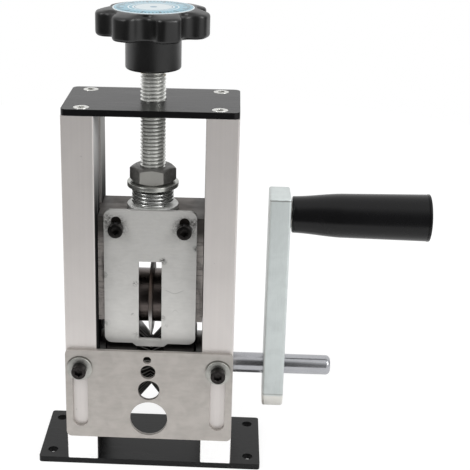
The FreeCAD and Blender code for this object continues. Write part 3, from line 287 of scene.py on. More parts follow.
def aluminium_finish(colours):
    """Extruded aluminium, pale under the guide plate, with painted shade and painted reflection on
    its inner faces: darker low down and at the front, paler high up and at the back, and without
    shine there.
    """
    finish = metal("extruded_aluminium", colours.aluminium[:], 0.4, (1, 1, 0.012), streaks=0.03,
                   mottle=0.05, relief=0.002, patch=30)
    finish.tint(finish.window(finish.noise(420, 2, (1, 1, 0.5)), 0.74, 0.8, 0, 0.35),
                paint(90, 88, 86))
    bar, guide = box("right_upright"), box("wire_guide_plate")
    channel_wall = 4 * MM
    # Inner faces of the channel, which get painted shade and painted reflection in place of the
    # metal's shine.
    painted_inner_faces = finish.times(
        finish.window(finish.y, bar.low.y + 0.1 * MM, bar.low.y + 0.5 * MM),
        finish.window(finish.off(finish.x), bar.low.x + 2.4 * MM, bar.low.x + 2.0 * MM),
        finish.window(finish.off(finish.y, channel_wall), 0.1 * MM, 0.3 * MM))
    height = finish.window(finish.z, bar.high.z - 50 * MM, bar.high.z - 4 * MM)
    back = finish.window(finish.y, -5 * MM, 8 * MM)
    # Painted shade low down and at the front, painted reflection high up and at the back.
    painted_inner_shading = finish.blend(height, finish.blend(back, paint(36, 36, 36), paint(92, 92, 91)),
                          finish.blend(back, paint(204, 203, 202), paint(240, 239, 237)))
    lines = finish.window(finish.noise(500, 3, (1, 1, 0.01)), 0.5, 0.8, 0, 0.35)
    foot = finish.times(finish.window(finish.z, guide.low.z + 1 * MM, guide.low.z - 1 * MM),
                        finish.window(finish.y, bar.low.y + 0.5 * MM, bar.low.y + 0.1 * MM))
    finish.tint(foot, WHITE)
    finish.tint(painted_inner_faces, finish.blend(lines, painted_inner_shading, paint(190, 189, 188)))
    return finish.done(
        Roughness=finish.window(foot, 0, 1, 0.4, 0.2), IOR=finish.window(painted_inner_faces, 0, 1, 1.5, 1.0),
        Metallic=finish.times(finish.window(painted_inner_faces, 1, 0), finish.window(foot, 0, 1, 0.52, 1.0)))


def guide_plate_finish(colours):
    """Brushed steel, rubbed round the clamping screws, with a thin dark ring of painted shade over
    their washers.
    """
    finish = metal("brushed_guide_steel", colours.guide_steel[:], 0.46, (0.15, 1, 0.5),
                   streaks=0.05, mottle=0.08, relief=0.003, patch=8, metallic=0.7)
    washers = box("guide_plate_washers")
    rim, rubbed = 6 * MM, 11 * MM
    away = finish.maths("MINIMUM", *(
        finish.away((1, 0, 1), (side * (washers.high.x - rim), 0, washers.middle.z))
        for side in (-1, 1)))
    finish.tint(finish.window(away, rubbed, rubbed / 4, 0, 0.3), paint(186, 187, 182))
    over = finish.maths("SUBTRACT", finish.z, washers.middle.z)
    # Painted shade: a thin dark ring in the gap over the upper half of each washer.
    washer_gap_shade = finish.window(finish.off(away, rim + 0.25 * MM), 0.45 * MM, 0.1 * MM)
    finish.tint(finish.times(washer_gap_shade, finish.window(over, 1 * MM, 4.5 * MM, 0, 0.75)),
                paint(74, 72, 69))
    return finish.done()


def cover_plate_finish(colours):
    """Pale steel with oily stains at its edges and slot, two faint scratches, and a painted
    reflection of the floor that makes it paler towards the bottom.
    """
    finish = metal("stained_cover_steel", colours.cover_steel[:], 0.5, (0.3, 1, 1), streaks=0.05,
                   mottle=0.07, relief=0.003, patch=7, metallic=0.6)
    low, high, _, size = box("cover_plate")
    stains = finish.maths("MAXIMUM", *(
        finish.near(low.x + across * size.x, low.z + up * size.z, reach * MM)
        for across, up, reach in (
            (0.0, 0.53, 2.2), (0.02, 0.17, 2.4), (0.345, 0.09, 2.6), (0.34, 0.47, 2.0),
            (0.64, 0.64, 2.6), (0.64, 0.22, 2.2), (0.05, 0.93, 4.0), (0.97, 0.92, 3.4),
            (0.68, 0.16, 1.4), (0.31, 0.24, 1.2), (0.99, 0.74, 2.0), (0.13, 0.88, 7.5),
            (0.86, 0.88, 7.5))))
    broken = finish.window(finish.noise(700, 4, warp=1.5), 0.38, 0.62, 0, 0.9)
    finish.tint(finish.times(stains, broken), paint(58, 56, 54))
    for start, end, height, dip in ((6.5, 16.5, 92.0, 1.6), (10.0, 14.0, 80.5, -1.4)):
        along = finish.window(finish.x, start * MM, end * MM)
        curve = finish.times(finish.maths("SINE", finish.times(along, math.pi)), -dip * MM)
        off = finish.off(finish.maths("SUBTRACT", finish.z, curve), height * MM)
        finish.tint(finish.times(finish.window(off, 0.35 * MM, 0.05 * MM, 0, 0.4),
                                 finish.window(finish.x, start * MM, (start + 1.5) * MM),
                                 finish.window(finish.x, end * MM, (end - 1.5) * MM)),
                    paint(96, 96, 94))
    # Painted reflection of the floor: paler towards the bottom.
    finish.tint(finish.window(finish.z, high.z - 22 * MM, low.z, 0, 0.6),
                shaded(colours.cover_steel[:], 1.45))
    return finish.done()


def crank_finish(colours):
    """Cloudy grey zinc plating, with painted shade across its front where it turns at both ends and
    a painted reflection of the floor that makes the foot paler.
    """
    finish = metal("zinc_plating", colours.zinc[:], 0.42, (1, 1, 0.1), streaks=0.04, mottle=0.08,
                   relief=0.006, patch=9, metallic=0.5, fineness=1500)
    low, high, _, _ = box("crank_arm")
    crown, foot = high.z - 0.9 * MM, low.z + 9.9 * MM
    finish.tint(finish.window(finish.z, high.z - 20 * MM, low.z, 0, 0.34), paint(150, 154, 154))
    # Painted reflection of the floor on the rounded foot.
    finish.tint(finish.window(finish.z, foot, foot - 1.5 * MM, 0, 0.7), paint(232, 228, 221))
    front = finish.window(finish.y, low.y + 1.2 * MM, low.y + 0.6 * MM)
    wobble = finish.times(finish.maths("SUBTRACT", finish.noise(220, 3), 0.5), 0.8 * MM)
    # Painted shade along the front where it turns, at the crown and at the foot.
    for height, ink_and_shade in ((crown, 0.6), (foot, 0.4)):
        off = finish.off(finish.maths("ADD", finish.z, wobble), height)
        finish.tint(finish.times(front, finish.window(off, 0.45 * MM, 0.1 * MM, 0, ink_and_shade)),
                    paint(84, 76, 70))
    return finish.done()


def block_finish(colours):
    """Dark drawn steel, rubbed bright at its sides in patches along the grain."""
    finish = metal("drawn_block_steel", colours.block_steel[:], 0.48, (0.04, 0.3, 1), streaks=0.3,
                   mottle=0.2, relief=0.02, patch=10, fineness=700)
    top = box("slide_block").high.z
    sides = finish.window(finish.off(finish.x), 17 * MM, 22.5 * MM)
    finish.tint(finish.times(
        finish.window(finish.noise(75, 5, (1, 1, 0.45), warp=1.2), 0.28, 0.5),
        finish.window(finish.noise(900, 3, (0.2, 1, 1)), 0.3, 0.5, 0.45, 1.0),
        sides, finish.window(finish.z, top - 6 * MM, top - 14 * MM)), colours.worn_steel[:])
    return finish.done(Metallic=finish.window(sides, 0, 1, 1.0, 0.25))


def nut_finish():
    """Dark nut, paler on the flat that faces front."""
    finish = metal("dark_nut_steel", paint(120, 119, 116), 0.42, streaks=0.2, mottle=0.25,
                   relief=0.012, patch=4)
    front = box("pressure_nut").low.y
    finish.tint(finish.window(finish.y, front + 0.3 * MM, front + 0.05 * MM, 0, 0.8),
                paint(172, 171, 166))
    return finish.done(Metallic=0.35)


def thread_finish():
    """Rolled thread: bright crests over roots darkened with painted shade."""
    finish = metal("rolled_thread_steel", paint(244, 245, 241), 0.24, streaks=0.02, relief=0,
                   patch=9)
    # Painted shade in the roots of the thread.
    finish.tint(finish.window(finish.away((1, 1, 0)), 5.75 * MM, 5.05 * MM, 0, 0.62),
                paint(88, 88, 84))
    return finish.done(Metallic=0.6)


def blade_finish(sizes):
    """Dark blade steel, darker and browner with less shine above its axle, and near white on the
    ground bevel below it, partly its polish and partly painted highlight.
    """
    finish = metal("ground_blade_steel", paint(104, 98, 94), 0.36, (1, 0.05, 0.05), streaks=0.1,
                   mottle=0.1, relief=0.004)
    disc = box("round_blade")
    height, wide = disc.middle.z, disc.size.z
    browned = finish.window(finish.z, height - wide * 0.12, height + wide * 0.3)
    finish.tint(browned, paint(84, 73, 67))
    bevel = wide / 2 - sizes.blade_bevel
    below = finish.window(finish.z, height + wide * 0.02, height - wide * 0.2)
    radius = finish.away((0, 1, 1), (0, 0, height))
    # Near white on the bevel below the axle: partly the ground polish, partly painted highlight.
    finish.tint(finish.times(below, finish.window(radius, bevel - 0.3 * MM, bevel)),
                paint(252, 250, 248))
    return finish.done(IOR=finish.window(browned, 0, 1, 1.5, 1.05), Metallic=0.0)


def roller_finish(sizes):
    """Dark hardened steel, worn bright on the crests of the teeth in the groove."""
    finish = metal("hardened_roller_steel", paint(70, 68, 66), 0.34, (0.03, 1, 1), streaks=0.2,
                   mottle=0.2, relief=0.008, patch=8)
    under = finish.maths("SUBTRACT", box("feed_roller").middle.z, finish.z)
    turn = finish.times(finish.maths("ARCTAN2", finish.y, under), sizes.roller_teeth / math.tau)
    crest = finish.window(finish.off(finish.maths("FRACT", turn), 0.5), 0.22, 0.08)
    groove = finish.window(finish.off(finish.x), 6.2 * MM, 5.8 * MM)
    crest = finish.times(crest, groove)
    finish.tint(crest, paint(150, 148, 145))
    return finish.done(Metallic=finish.window(crest, 0, 1, 1.0, 0.3))


def plastic_finish(name, colour, roughness, spread, relief, shine):
    """Moulded black plastic with an uneven sheen and faint scuffs."""
    finish = Finish(name, colour, roughness)
    scuffs = finish.window(finish.noise(300, 4, (1, 1, 0.25), warp=1.0), 0.62, 0.8)
    finish.tint(finish.times(scuffs, 0.25), shaded(colour, 3.0))
    sheen = finish.window(finish.noise(70, 4, warp=0.5), 0.3, 0.7, roughness - spread,
                          roughness + spread)
    finish.relief(finish.noise(1400, 3), relief * MM)
    return finish.done(Roughness=finish.maths("ADD", sheen, finish.times(scuffs, 0.1)),
                       Specular_IOR_Level=shine)


def dial_finish(colours):
    """Printed disc: a white rim, a pale blue field, a ring of ticks and a white middle."""
    blue = colours.dial_blue[:]
    finish = Finish("printed_dial", blue, 0.38)
    radius, angle = finish.away((1, 1, 0)), finish.maths("ARCTAN2", finish.y, finish.x)
    soft = 0.12

    def band(inner, outer):
        return finish.times(finish.window(radius, (inner - soft) * MM, inner * MM),
                            finish.window(radius, (outer + soft) * MM, outer * MM))

    def spokes(count, share):
        turn = finish.maths("FRACT", finish.times(angle, count / math.tau))
        return finish.window(finish.off(turn, 0.5), share, share * 0.8)

    finish.tint(finish.window(finish.noise(60, 3), 0.35, 0.65), shaded(blue, 0.93))
    finish.tint(finish.maths("MAXIMUM", finish.times(band(15.2, 16.7), spokes(60, 0.22)),
                             finish.times(band(13.6, 16.7), spokes(12, 0.08))), paint(30, 56, 74))
    for inner, outer, ink_and_shade in ((18.0, 30, paint(226, 236, 240)), (11.2, 11.6, paint(232, 240, 243)),
                              (-1, 9.6, paint(214, 226, 230)), (8.4, 8.7, paint(96, 140, 165)),
                              (-1, 1.6, paint(96, 140, 165))):
        finish.tint(band(inner, outer), ink_and_shade)
    finish.relief(finish.noise(500, 3), 0.01 * MM)
    return finish.done(Coat_Weight=0.3)


# Finish, material, sRGB colour, roughness, grain along X, streaks, mottling, relief in
# millimetres, size of the patches in millimetres and share of metal.
PLAIN_METALS = (
    ("polished", "polished_shaft_steel", (176, 177, 181), 0.19, 0.05, 0.05, 0.1, 0.002, 22, 0.82),
    ("guide_washer", "dull_zinc_washers", (176, 176, 171), 0.42, 1, 0.05, 0.1, 0.005, 4, 1.0),
    ("grey_washer", "grey_zinc_washer", (186, 187, 182), 0.3, 1, 0.06, 0.2, 0.01, 4, 0.85),
    ("washer", "bright_zinc_washers", (240, 241, 238), 0.36, 1, 0.06, 0.16, 0.01, 5, 0.3),
    ("spring", "spring_wire_steel", (200, 201, 199), 0.24, 1, 0.1, 0.15, 0.01, 4, 0.88),
    ("collar", "blued_collar_steel", (94, 87, 84), 0.3, 0.05, 0.1, 0.12, 0.002, 9, 1.0),
    ("bearing", "bearing_steel", (120, 119, 117), 0.36, 1, 0.05, 0.1, 0.004, 6, 1.0),
    ("shield", "dark_bearing_shields", (72, 71, 70), 0.4, 1, 0.05, 0.1, 0.004, 6, 1.0),
    ("plain_steel", "turned_steel", (160, 158, 154), 0.33, 1, 0.1, 0.15, 0.01, 5, 1.0),
    ("black_oxide", "black_oxide_screws", (52, 50, 49), 0.3, 1, 0.2, 0.3, 0.01, 3, 1.0),
    ("bright_screw", "zinc_screws", (216, 216, 212), 0.28, 1, 0.08, 0.15, 0.01, 3, 1.0),
    ("brass", "brass_insert", (200, 170, 100), 0.3, 1, 0.1, 0.15, 0.01, 4, 1.0),
)


def make_finishes(sizes, colours):
    """Every finish by name."""
    made = {
        "black_paint": black_plate_finish(colours),
        "aluminium": aluminium_finish(colours),
        "guide_steel": guide_plate_finish(colours),
        "cover_steel": cover_plate_finish(colours),
        "zinc": crank_finish(colours),
        "block": block_finish(colours),
        "nut": nut_finish(),
        "thread": thread_finish(),
        "roller": roller_finish(sizes),
        "blade": blade_finish(sizes),
        "knob_plastic": plastic_finish("moulded_knob_plastic", colours.plastic[:], 0.36, 0.04,
                                       0.006, 0.52),
        "grip_plastic": plastic_finish("glossy_grip_plastic", colours.grip[:], 0.25, 0.03, 0.002,
                                       0.24),
        "dial": dial_finish(colours),
    }
    for finish, name, colour, roughness, grain, *rest in PLAIN_METALS:
        made[finish] = metal(name, paint(*colour), roughness, (grain, 1, 1), *rest).done()
    return made


finishes = {}


# ---------------------------------------------------------------- shapes
def new_object(name, mesh):
    """An object at the origin that holds the mesh."""
    piece = bpy.data.objects.new(name, mesh)
    bpy.context.scene.collection.objects.link(piece)
    return piece


def settled(piece):
    """The object with its modifiers turned into plain mesh."""
    graph = bpy.context.evaluated_depsgraph_get()
    mesh = bpy.data.meshes.new_from_object(piece.evaluated_get(graph), depsgraph=graph)
    piece.modifiers.clear()
    piece.data = mesh
    mesh.name = piece.name
    return piece


def smoothed(mesh):
    """Smooth shading that keeps the sharp edges."""
    mesh.shade_smooth()
    mesh.set_sharp_from_angle(angle=SMOOTH_ANGLE)


def painted(piece, finish):
    """Gives an object one finish."""
    piece.data.materials.clear()
    piece.data.materials.append(finishes[finish])


def fitted(piece, body, finish, node):
    """Gives a finished piece its finish, its body and the node that it stands for."""
    painted(piece, finish)
    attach(piece, body)
    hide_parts(node)


def rounded(corners, steps=5):
    """A half section from (height, radius, rounding) corners, with arcs at the rounded ones."""
    section = []
    for number, (height, radius, *rounding) in enumerate(corners):
        spot = Vector((height, radius))
        if not rounding:
            section.append(tuple(spot))
            continue
        before = (Vector(corners[number - 1][:2]) - spot).normalized()
        after = (Vector(corners[(number + 1) % len(corners)][:2]) - spot).normalized()
        half = before.angle(after) / 2
        centre = spot + (before + after).normalized() * rounding[0] / math.sin(half)
        start = spot + before * rounding[0] / math.tan(half) - centre
        end = spot + after * rounding[0] / math.tan(half) - centre
        turn = math.atan2(start.y, start.x)
        sweep = (math.atan2(end.y, end.x) - turn + math.pi) % math.tau - math.pi
        for step in range(steps + 1):
            angle = turn + sweep * step / steps
            section.append((centre.x + rounding[0] * math.cos(angle),
                            centre.y + rounding[0] * math.sin(angle)))
    return section


def loft(name, rings, around, turned=Matrix(), at=(0, 0, 0), tube=False):
    """A skin over rings of (height, radius), where a radius may be a rule of the angle."""
    shape = bmesh.new()
    rows = []
    for height, radius in rings:
        if not callable(radius) and radius < 1e-9:
            rows.append([shape.verts.new((0, 0, height))])
            continue
        row = []
        for step in range(around):
            angle = math.tau * step / around
            reach = radius(angle) if callable(radius) else radius
            row.append(shape.verts.new((reach * math.cos(angle), reach * math.sin(angle), height)))
        rows.append(row)
    for low, high in zip(rows, rows[1:] + (rows[:1] if tube else [])):
        for step in range(around):
            corners = [low[step % len(low)], low[(step + 1) % around % len(low)],
                       high[(step + 1) % around % len(high)], high[step % len(high)]]
            shape.faces.new(dict.fromkeys(corners))
    bmesh.ops.recalc_face_normals(shape, faces=shape.faces)
    shape.transform(Matrix.Translation(at) @ turned)
    mesh = bpy.data.meshes.new(name)
    shape.to_mesh(mesh)
    shape.free()
    smoothed(mesh)
    return new_object(name, mesh)


def hexagon(flats):
    """Radius of a hexagon at an angle."""
    return lambda angle: flats / 2 / math.cos((angle + math.pi / 6) % (math.pi / 3) - math.pi / 6)


def machined(node, name, easing):
    """A copy of a CAD node with its sharp edges eased."""
    shape = bmesh.new()
    shape.from_mesh(frame["nodes"][node].data)
    bmesh.ops.remove_doubles(shape, verts=shape.verts, dist=1e-6)
    bmesh.ops.dissolve_limit(shape, angle_limit=math.radians(0.3), verts=shape.verts,
                             edges=shape.edges)
    mesh = bpy.data.meshes.new(name)
    shape.to_mesh(mesh)
    shape.free()
    for layer in ("custom_normal", "sharp_face", "sharp_edge"):
        if layer in mesh.attributes:
            mesh.attributes.remove(mesh.attributes[layer])
    mesh.shade_smooth()
    piece = new_object(name, mesh)
    bevel = piece.modifiers.new("eased edges", "BEVEL")
    bevel.width, bevel.segments = easing, 2
    bevel.limit_method, bevel.angle_limit = "ANGLE", SMOOTH_ANGLE
    piece.modifiers.new("flat faces stay flat", "WEIGHTED_NORMAL").keep_sharp = True
    return settled(piece)


def closed(piece):
    """The object with its open ends filled and its faces turned outwards."""
    shape = bmesh.new()
    shape.from_mesh(piece.data)
    bmesh.ops.remove_doubles(shape, verts=shape.verts, dist=2e-6)
    bmesh.ops.dissolve_degenerate(shape, dist=1e-6, edges=shape.edges)
    bmesh.ops.holes_fill(shape, edges=[edge for edge in shape.edges if edge.is_boundary])
    bmesh.ops.recalc_face_normals(shape, faces=shape.faces)
    shape.to_mesh(piece.data)
    shape.free()
    smoothed(piece.data)
    return piece


class Tree(Nodes):
    """A Geometry Nodes tree with named inputs."""

    def __init__(self, name, **inputs):
        super().__init__(bpy.data.node_groups.new(name, "GeometryNodeTree"))
        sockets = self.tree.interface
        sockets.new_socket("Geometry", in_out="OUTPUT", socket_type="NodeSocketGeometry")
        for label, (kind, value) in inputs.items():
            sockets.new_socket(label.replace("_", " "), in_out="INPUT",
                               socket_type="NodeSocket" + kind).default_value = value
        self.entry = self.add("NodeGroupInput")

    def of(self, label):
        """One named input."""
        return self.entry.outputs[label.replace("_", " ")]

    def made(self, name, geometry):
        """A plain mesh object from the tree's geometry."""
        real = self.add("GeometryNodeRealizeInstances", {0: geometry}).outputs[0]
        painted_mesh = self.add("GeometryNodeSetMaterial", {0: real, "Material": self.of("Finish")})
        self.add("NodeGroupOutput", {0: painted_mesh.outputs[0]})
        piece = new_object(name, bpy.data.meshes.new(name))
        piece.modifiers.new(self.tree.name, "NODES").node_group = self.tree
        return settled(piece)


def fasteners(node, name, body, finish, screw, width, rows, centre, turn=(0, 0, 0)):
    """Copies of a screw at the corners of a CAD node of that many rows, in its place."""
    size = box(node).size
    tree = Tree(name, Screw=("Object", screw), Finish=("Material", finishes[finish]),
                Columns=("Int", 2), Rows=("Int", rows), Width=("Float", size.x - width),
                Depth=("Float", size.y - width if rows > 1 else 0.0))
    grid = tree.add("GeometryNodeMeshGrid", {
        "Size X": tree.of("Width"), "Size Y": tree.of("Depth"),
        "Vertices X": tree.of("Columns"), "Vertices Y": tree.of("Rows")})
    source = tree.add("GeometryNodeObjectInfo", {"Object": tree.of("Screw")})
    placed = tree.add("GeometryNodeInstanceOnPoints", {
        "Points": grid.outputs["Mesh"], "Instance": source.outputs["Geometry"], "Rotation": turn})
    moved = tree.add("GeometryNodeTransform", {0: placed.outputs[0], "Translation": centre})
    piece = tree.made(name, moved.outputs[0])
    smoothed(piece.data)
    bpy.data.objects.remove(screw)
    fitted(piece, body, finish, node)


def socket_screw(outline, flats, floor, tip):
    """A hexagon socket screw along Z from the outline of its shank and head."""
    rim, socket = outline[-1][0], hexagon(flats)
    chamfer = 0.15 * MM
    rings = outline + [(rim, lambda angle: socket(angle) + 0.12 * MM), (rim - chamfer, socket),
                       (floor, socket), (tip, 0)]
    return loft("screw", rings, 72)


def cap_screw():
    """A socket cap screw with its head above the origin."""
    length, head, shank, top = 10 * MM, 3.5 * MM, 2 * MM, 4 * MM
    outline = rounded([(-length, 0), (-length, shank, 0.4 * MM), (0, shank), (0, head, 0.15 * MM),
                       (top, head, 0.45 * MM), (top, 1.95 * MM)], 4)
    return socket_screw(outline, 3.4 * MM, 2 * MM, 1.6 * MM)


def countersunk_screw():
    """A countersunk socket screw with its flat face at the origin."""
    length, head, shank, depth = 12 * MM, 3.8 * MM, 2 * MM, 1.8 * MM
    outline = rounded([(-length, 0), (-length, shank, 0.3 * MM), (-depth, shank),
                       (0, head, 0.12 * MM), (0, 2 * MM)], 3)
    return socket_screw(outline, 3 * MM, -1.7 * MM, -1.75 * MM)


def ring(name, middle, thickness, rim, bore, edges=(0.3, 0.35), steps=5, around=96):
    """A flat washer along Z with rounded edges at its bore and rim."""
    top, inner, outer = thickness / 2, edges[0] * MM, edges[1] * MM
    return loft(name, rounded([(-top, bore, inner), (-top, rim, outer), (top, rim, outer),
                               (top, bore, inner)], steps), around, at=middle, tube=True)


def toothed_roller(sizes):
    """The feed roller, with teeth across the walls of its groove and two tapped holes."""
    _, _, middle, size = box("feed_roller")
    end, rim, bore = size.x / 2 + 0.7 * MM, size.z / 2, 5 * MM
    mouth, root, chamfer = 6.5 * MM, 12 * MM, 0.8 * MM
    count, steps = sizes.roller_teeth, 10

    def toothed(radius, depth):
        return lambda angle: radius - depth * abs((angle * count / math.tau) % 1 - 0.5) * 2

    rings = [(-end, bore), (-end, rim - chamfer), (chamfer - end, rim), (-mouth, rim)]
    for step in range(1, steps + 1):
        share = step / steps
        rings.append((-mouth * (1 - share), toothed(rim - (rim - root) * share,
                                                    sizes.tooth_depth * min(1, 3 * share))))
    rings += [(-height, radius) for height, radius in rings[-2::-1]]
    roller = loft("grooved_roller", rings, count * 6, TURNED_TO_X, middle, tube=True)
    low, high, _, _ = box("roller_set_screws")
    tap, foot = 2.55 * MM, rim + MM
    drill = new_object("drill", bpy.data.meshes.new("drill"))
    holes = bmesh.new()
    for x in (low.x + 2.5 * MM, high.x - 2.5 * MM):
        bmesh.ops.create_cone(holes, cap_ends=True, segments=40, radius1=tap, radius2=tap,
                              depth=high.z - middle.z + foot,
                              matrix=Matrix.Translation((x, 0, (high.z + middle.z - foot) / 2)))
    holes.to_mesh(drill.data)
    holes.free()
    taps = roller.modifiers.new("tapped holes", "BOOLEAN")
    taps.object, taps.solver = drill, "EXACT"
    settled(roller)
    bpy.data.objects.remove(drill)
    smoothed(roller.data)
    return roller


def chamfered_nut():
    """The pressure nut, its corners turned off at both ends."""
    _, _, middle, size = box("pressure_nut")
    flats, half, bore, cone = size.y, size.z / 2, 6 * MM, 1.3 * MM

    def corner_cut(depth):
        reach = flats * 0.47 + depth * 1.73
        return lambda angle: min(reach, hexagon(flats)(angle + math.pi / 6))

    ends = [(half - cone * step / 5, corner_cut(cone * step / 5)) for step in range(6)]
    rings = [(-half, bore), *((-height, radius) for height, radius in ends), *reversed(ends),
             (half, bore)]
    return loft("hex_pressure_nut", rings, 144, at=middle, tube=True)


def screw_thread(sizes):
    """A grid bent into a screw thread, whose rows follow the helix."""
    low, _, middle, size = box("adjusting_rod")
    rows_per_turn = 10
    tree = Tree("Screw thread", Finish=("Material", finishes["thread"]),
                Crest=("Float", size.x / 2), Depth=("Float", sizes.thread_depth),
                Pitch=("Float", sizes.thread_pitch), Length=("Float", size.z),
                Turns=("Int", int(size.z / sizes.thread_pitch) + 2), Around=("Int", 48))
    pitch, length, turns, maths = tree.of("Pitch"), tree.of("Length"), tree.of("Turns"), tree.maths
    grid = tree.add("GeometryNodeMeshGrid", {
        "Size X": 1.0, "Size Y": 1.0, "Vertices X": maths("ADD", tree.of("Around"), 1.0),
        "Vertices Y": maths("ADD", tree.times(turns, rows_per_turn), 1.0)})
    spot = tree.add("ShaderNodeSeparateXYZ", {0: tree.add("GeometryNodeInputPosition").outputs[0]})
    turn = maths("ADD", spot.outputs[0], 0.5)
    wound = tree.times(maths("ADD", spot.outputs[1], 0.5), turns)
    height = tree.times(maths("SUBTRACT", maths("ADD", wound, turn), 1.0), pitch)
    groove = tree.window(tree.off(maths("FRACT", wound), 0.5), 0.05, 0.48)
    room = maths("MINIMUM", height, maths("SUBTRACT", length, height))
    run_in = tree.window(room, 0.0, pitch, 1.0, 0.0, soft=False)
    cut = tree.times(maths("MAXIMUM", groove, run_in), tree.of("Depth"))
    radius = maths("SUBTRACT", tree.of("Crest"), cut)
    angle = tree.times(turn, math.tau)
    place = tree.add("ShaderNodeCombineXYZ", {
        0: tree.times(radius, maths("COSINE", angle)), 1: tree.times(radius, maths("SINE", angle)),
        2: maths("MINIMUM", maths("MAXIMUM", height, 0.0), length)})
    bent = tree.add("GeometryNodeSetPosition", {0: grid.outputs["Mesh"],
                                                "Position": place.outputs[0]})
    welded = tree.add("GeometryNodeMergeByDistance", {0: bent.outputs[0], "Distance": 2e-6})
    moved = tree.add("GeometryNodeTransform", {0: welded.outputs[0],
                                               "Translation": (middle.x, middle.y, low.z)})
    return closed(tree.made("threaded_rod", moved.outputs[0]))


def coil_spring(sizes):
    """A round wire swept along a spiral."""
    low, _, middle, size = box("pressure_spring")
    wire, first_end = sizes.spring_wire, math.radians(-55)
    tree = Tree("Coil spring", Finish=("Material", finishes["spring"]),
                Wire_Radius=("Float", wire / 2), Turns=("Float", sizes.spring_turns),
                Coil_Radius=("Float", (size.x - wire) / 2), Rise=("Float", size.z - wire))
    spiral = tree.add("GeometryNodeCurveSpiral", {
        "Resolution": 64, "Rotations": tree.of("Turns"), "Start Radius": tree.of("Coil_Radius"),
        "End Radius": tree.of("Coil_Radius"), "Height": tree.of("Rise")})
    section = tree.add("GeometryNodeCurvePrimitiveCircle", {
        "Resolution": 20, "Radius": tree.of("Wire_Radius")})
    swept = tree.add("GeometryNodeCurveToMesh", {
        "Curve": spiral.outputs[0], "Profile Curve": section.outputs[0], "Fill Caps": True})
    moved = tree.add("GeometryNodeTransform", {
        0: swept.outputs[0], "Rotation": (0, 0, first_end),
        "Translation": (middle.x, middle.y, low.z + wire / 2)})
    return closed(tree.made("pressure_coil", moved.outputs[0]))


def lobed_outline(sizes, rim):
    """Radius of the knob at an angle: hollows cut in a round rim, with rounded lobes."""
    hollow, rounding = sizes.hollow_radius, sizes.lobe_rounding
    distance, inner, reach = rim - sizes.hollow_depth + hollow, rim - rounding, hollow + rounding
    spread = math.acos((inner ** 2 + distance ** 2 - reach ** 2) / (2 * inner * distance))
    rounding_centre = Vector((inner * math.cos(spread), inner * math.sin(spread)))
    hollow_centre = Vector((distance, 0))
    tangent = hollow_centre + (rounding_centre - hollow_centre) * hollow / reach
    hollow_end = math.atan2(tangent.y, tangent.x)
    pitch, first = math.tau / sizes.knob_lobes, sizes.knob_turn

    def radius(angle):
        off = abs((angle - first + pitch / 2) % pitch - pitch / 2)
        if off < hollow_end:
            return distance * math.cos(off) - math.sqrt(hollow ** 2
                                                        - (distance * math.sin(off)) ** 2)
        if off < spread:
            lean = spread - off
            return inner * math.cos(lean) + math.sqrt(rounding ** 2
                                                      - (inner * math.sin(lean)) ** 2)
        return rim

    return radius


def star_knob(sizes):
    """The knob from the cavity in its hub to the flat on its lobed head."""
    low, high, _, _ = box("knob_body")
    outline = lobed_outline(sizes, 26.2 * MM)
    head, top, cavity = 15.4 * MM, high.z - low.z, 20 * MM
    hub, insert, flat, drop = 12.8 * MM, 9 * MM, 19.2 * MM, 1.1 * MM
    lower, upper, steps = 1.8 * MM, 1.7 * MM, 5
    crown = top - drop - upper + 0.1 * MM

    def inset(depth, share=0.0):
        return lambda angle: (outline(angle) - depth) * (1 - share) + flat * share

    rings = [(cavity, 0), (cavity, insert), (0, insert)]
    rings += rounded([(0, insert), (0, hub, 1 * MM), (head, hub)])[1:-1]
    rings += [(head - 0.8 * MM, hub), (head - 0.25 * MM, hub + 0.2 * MM), (head, hub + 0.8 * MM)]
    for step in range(steps + 1):
        angle = math.radians(90) * step / steps
        rings.append((head + lower * (1 - math.cos(angle)), inset(lower * (1 - math.sin(angle)))))
    for step in range(steps + 1):
        angle = math.radians(75) * step / steps
        height, depth = crown + upper * math.sin(angle), upper * (1 - math.cos(angle))
        rings.append((height, inset(depth)))
    for step in range(1, steps + 2):
        share = step / (steps + 1)
        rings.append((height + (top - height) * math.sin(share * math.pi / 2),
                      inset(depth, share)))
    rings.append((top, 0))
    return loft("star_knob", rings, sizes.knob_lobes * 36, at=(0, 0, low.z))


# ---------------------------------------------------------------- pieces
class Piece(bpy.types.Operator):
    """A step that makes pieces of the wire stripper"""
    bl_idname = "stripper.piece"
    bl_label = "Piece"
    bl_options = {"REGISTER", "UNDO"}

    def execute(self, context):
        """Makes the pieces from the scene's settings."""
        self.make(context.scene.stripper_sizes, context.scene.stripper_colours)
        return {"FINISHED"}


class MakeFinishes(Piece):
    """Makes every procedural finish"""
    bl_idname = "stripper.finishes"
    bl_label = "Finishes"

    def make(self, sizes, colours):
        """Fills the table of finishes."""
        finishes.update(make_finishes(sizes, colours))


class MakeFrame(Piece):
    """Finishes the uprights, bearings and small CAD parts that keep their shape"""
    bl_idname = "stripper.frame_parts"
    bl_label = "Frame parts"

    def make(self, sizes, colours):
        """Gives the CAD nodes their finishes."""
        for finish, nodes in (
                ("aluminium", ("left_upright", "right_upright")),
                ("bearing", ("bearing_outer_rings", "bearing_inner_rings", "bearing_balls")),
                ("shield", ("bearing_shields",)),
                ("plain_steel", ("shaft_spacers", "blade_axle", "handle_spindle",
                                 "rod_retaining_nut")),
                ("black_oxide", ("roller_set_screws", "crank_set_screw", "axle_set_screw")),
                ("zinc", ("crank_arm",)),
                ("brass", ("knob_insert",))):
            for node in nodes:
                painted(frame["nodes"][node], finish)


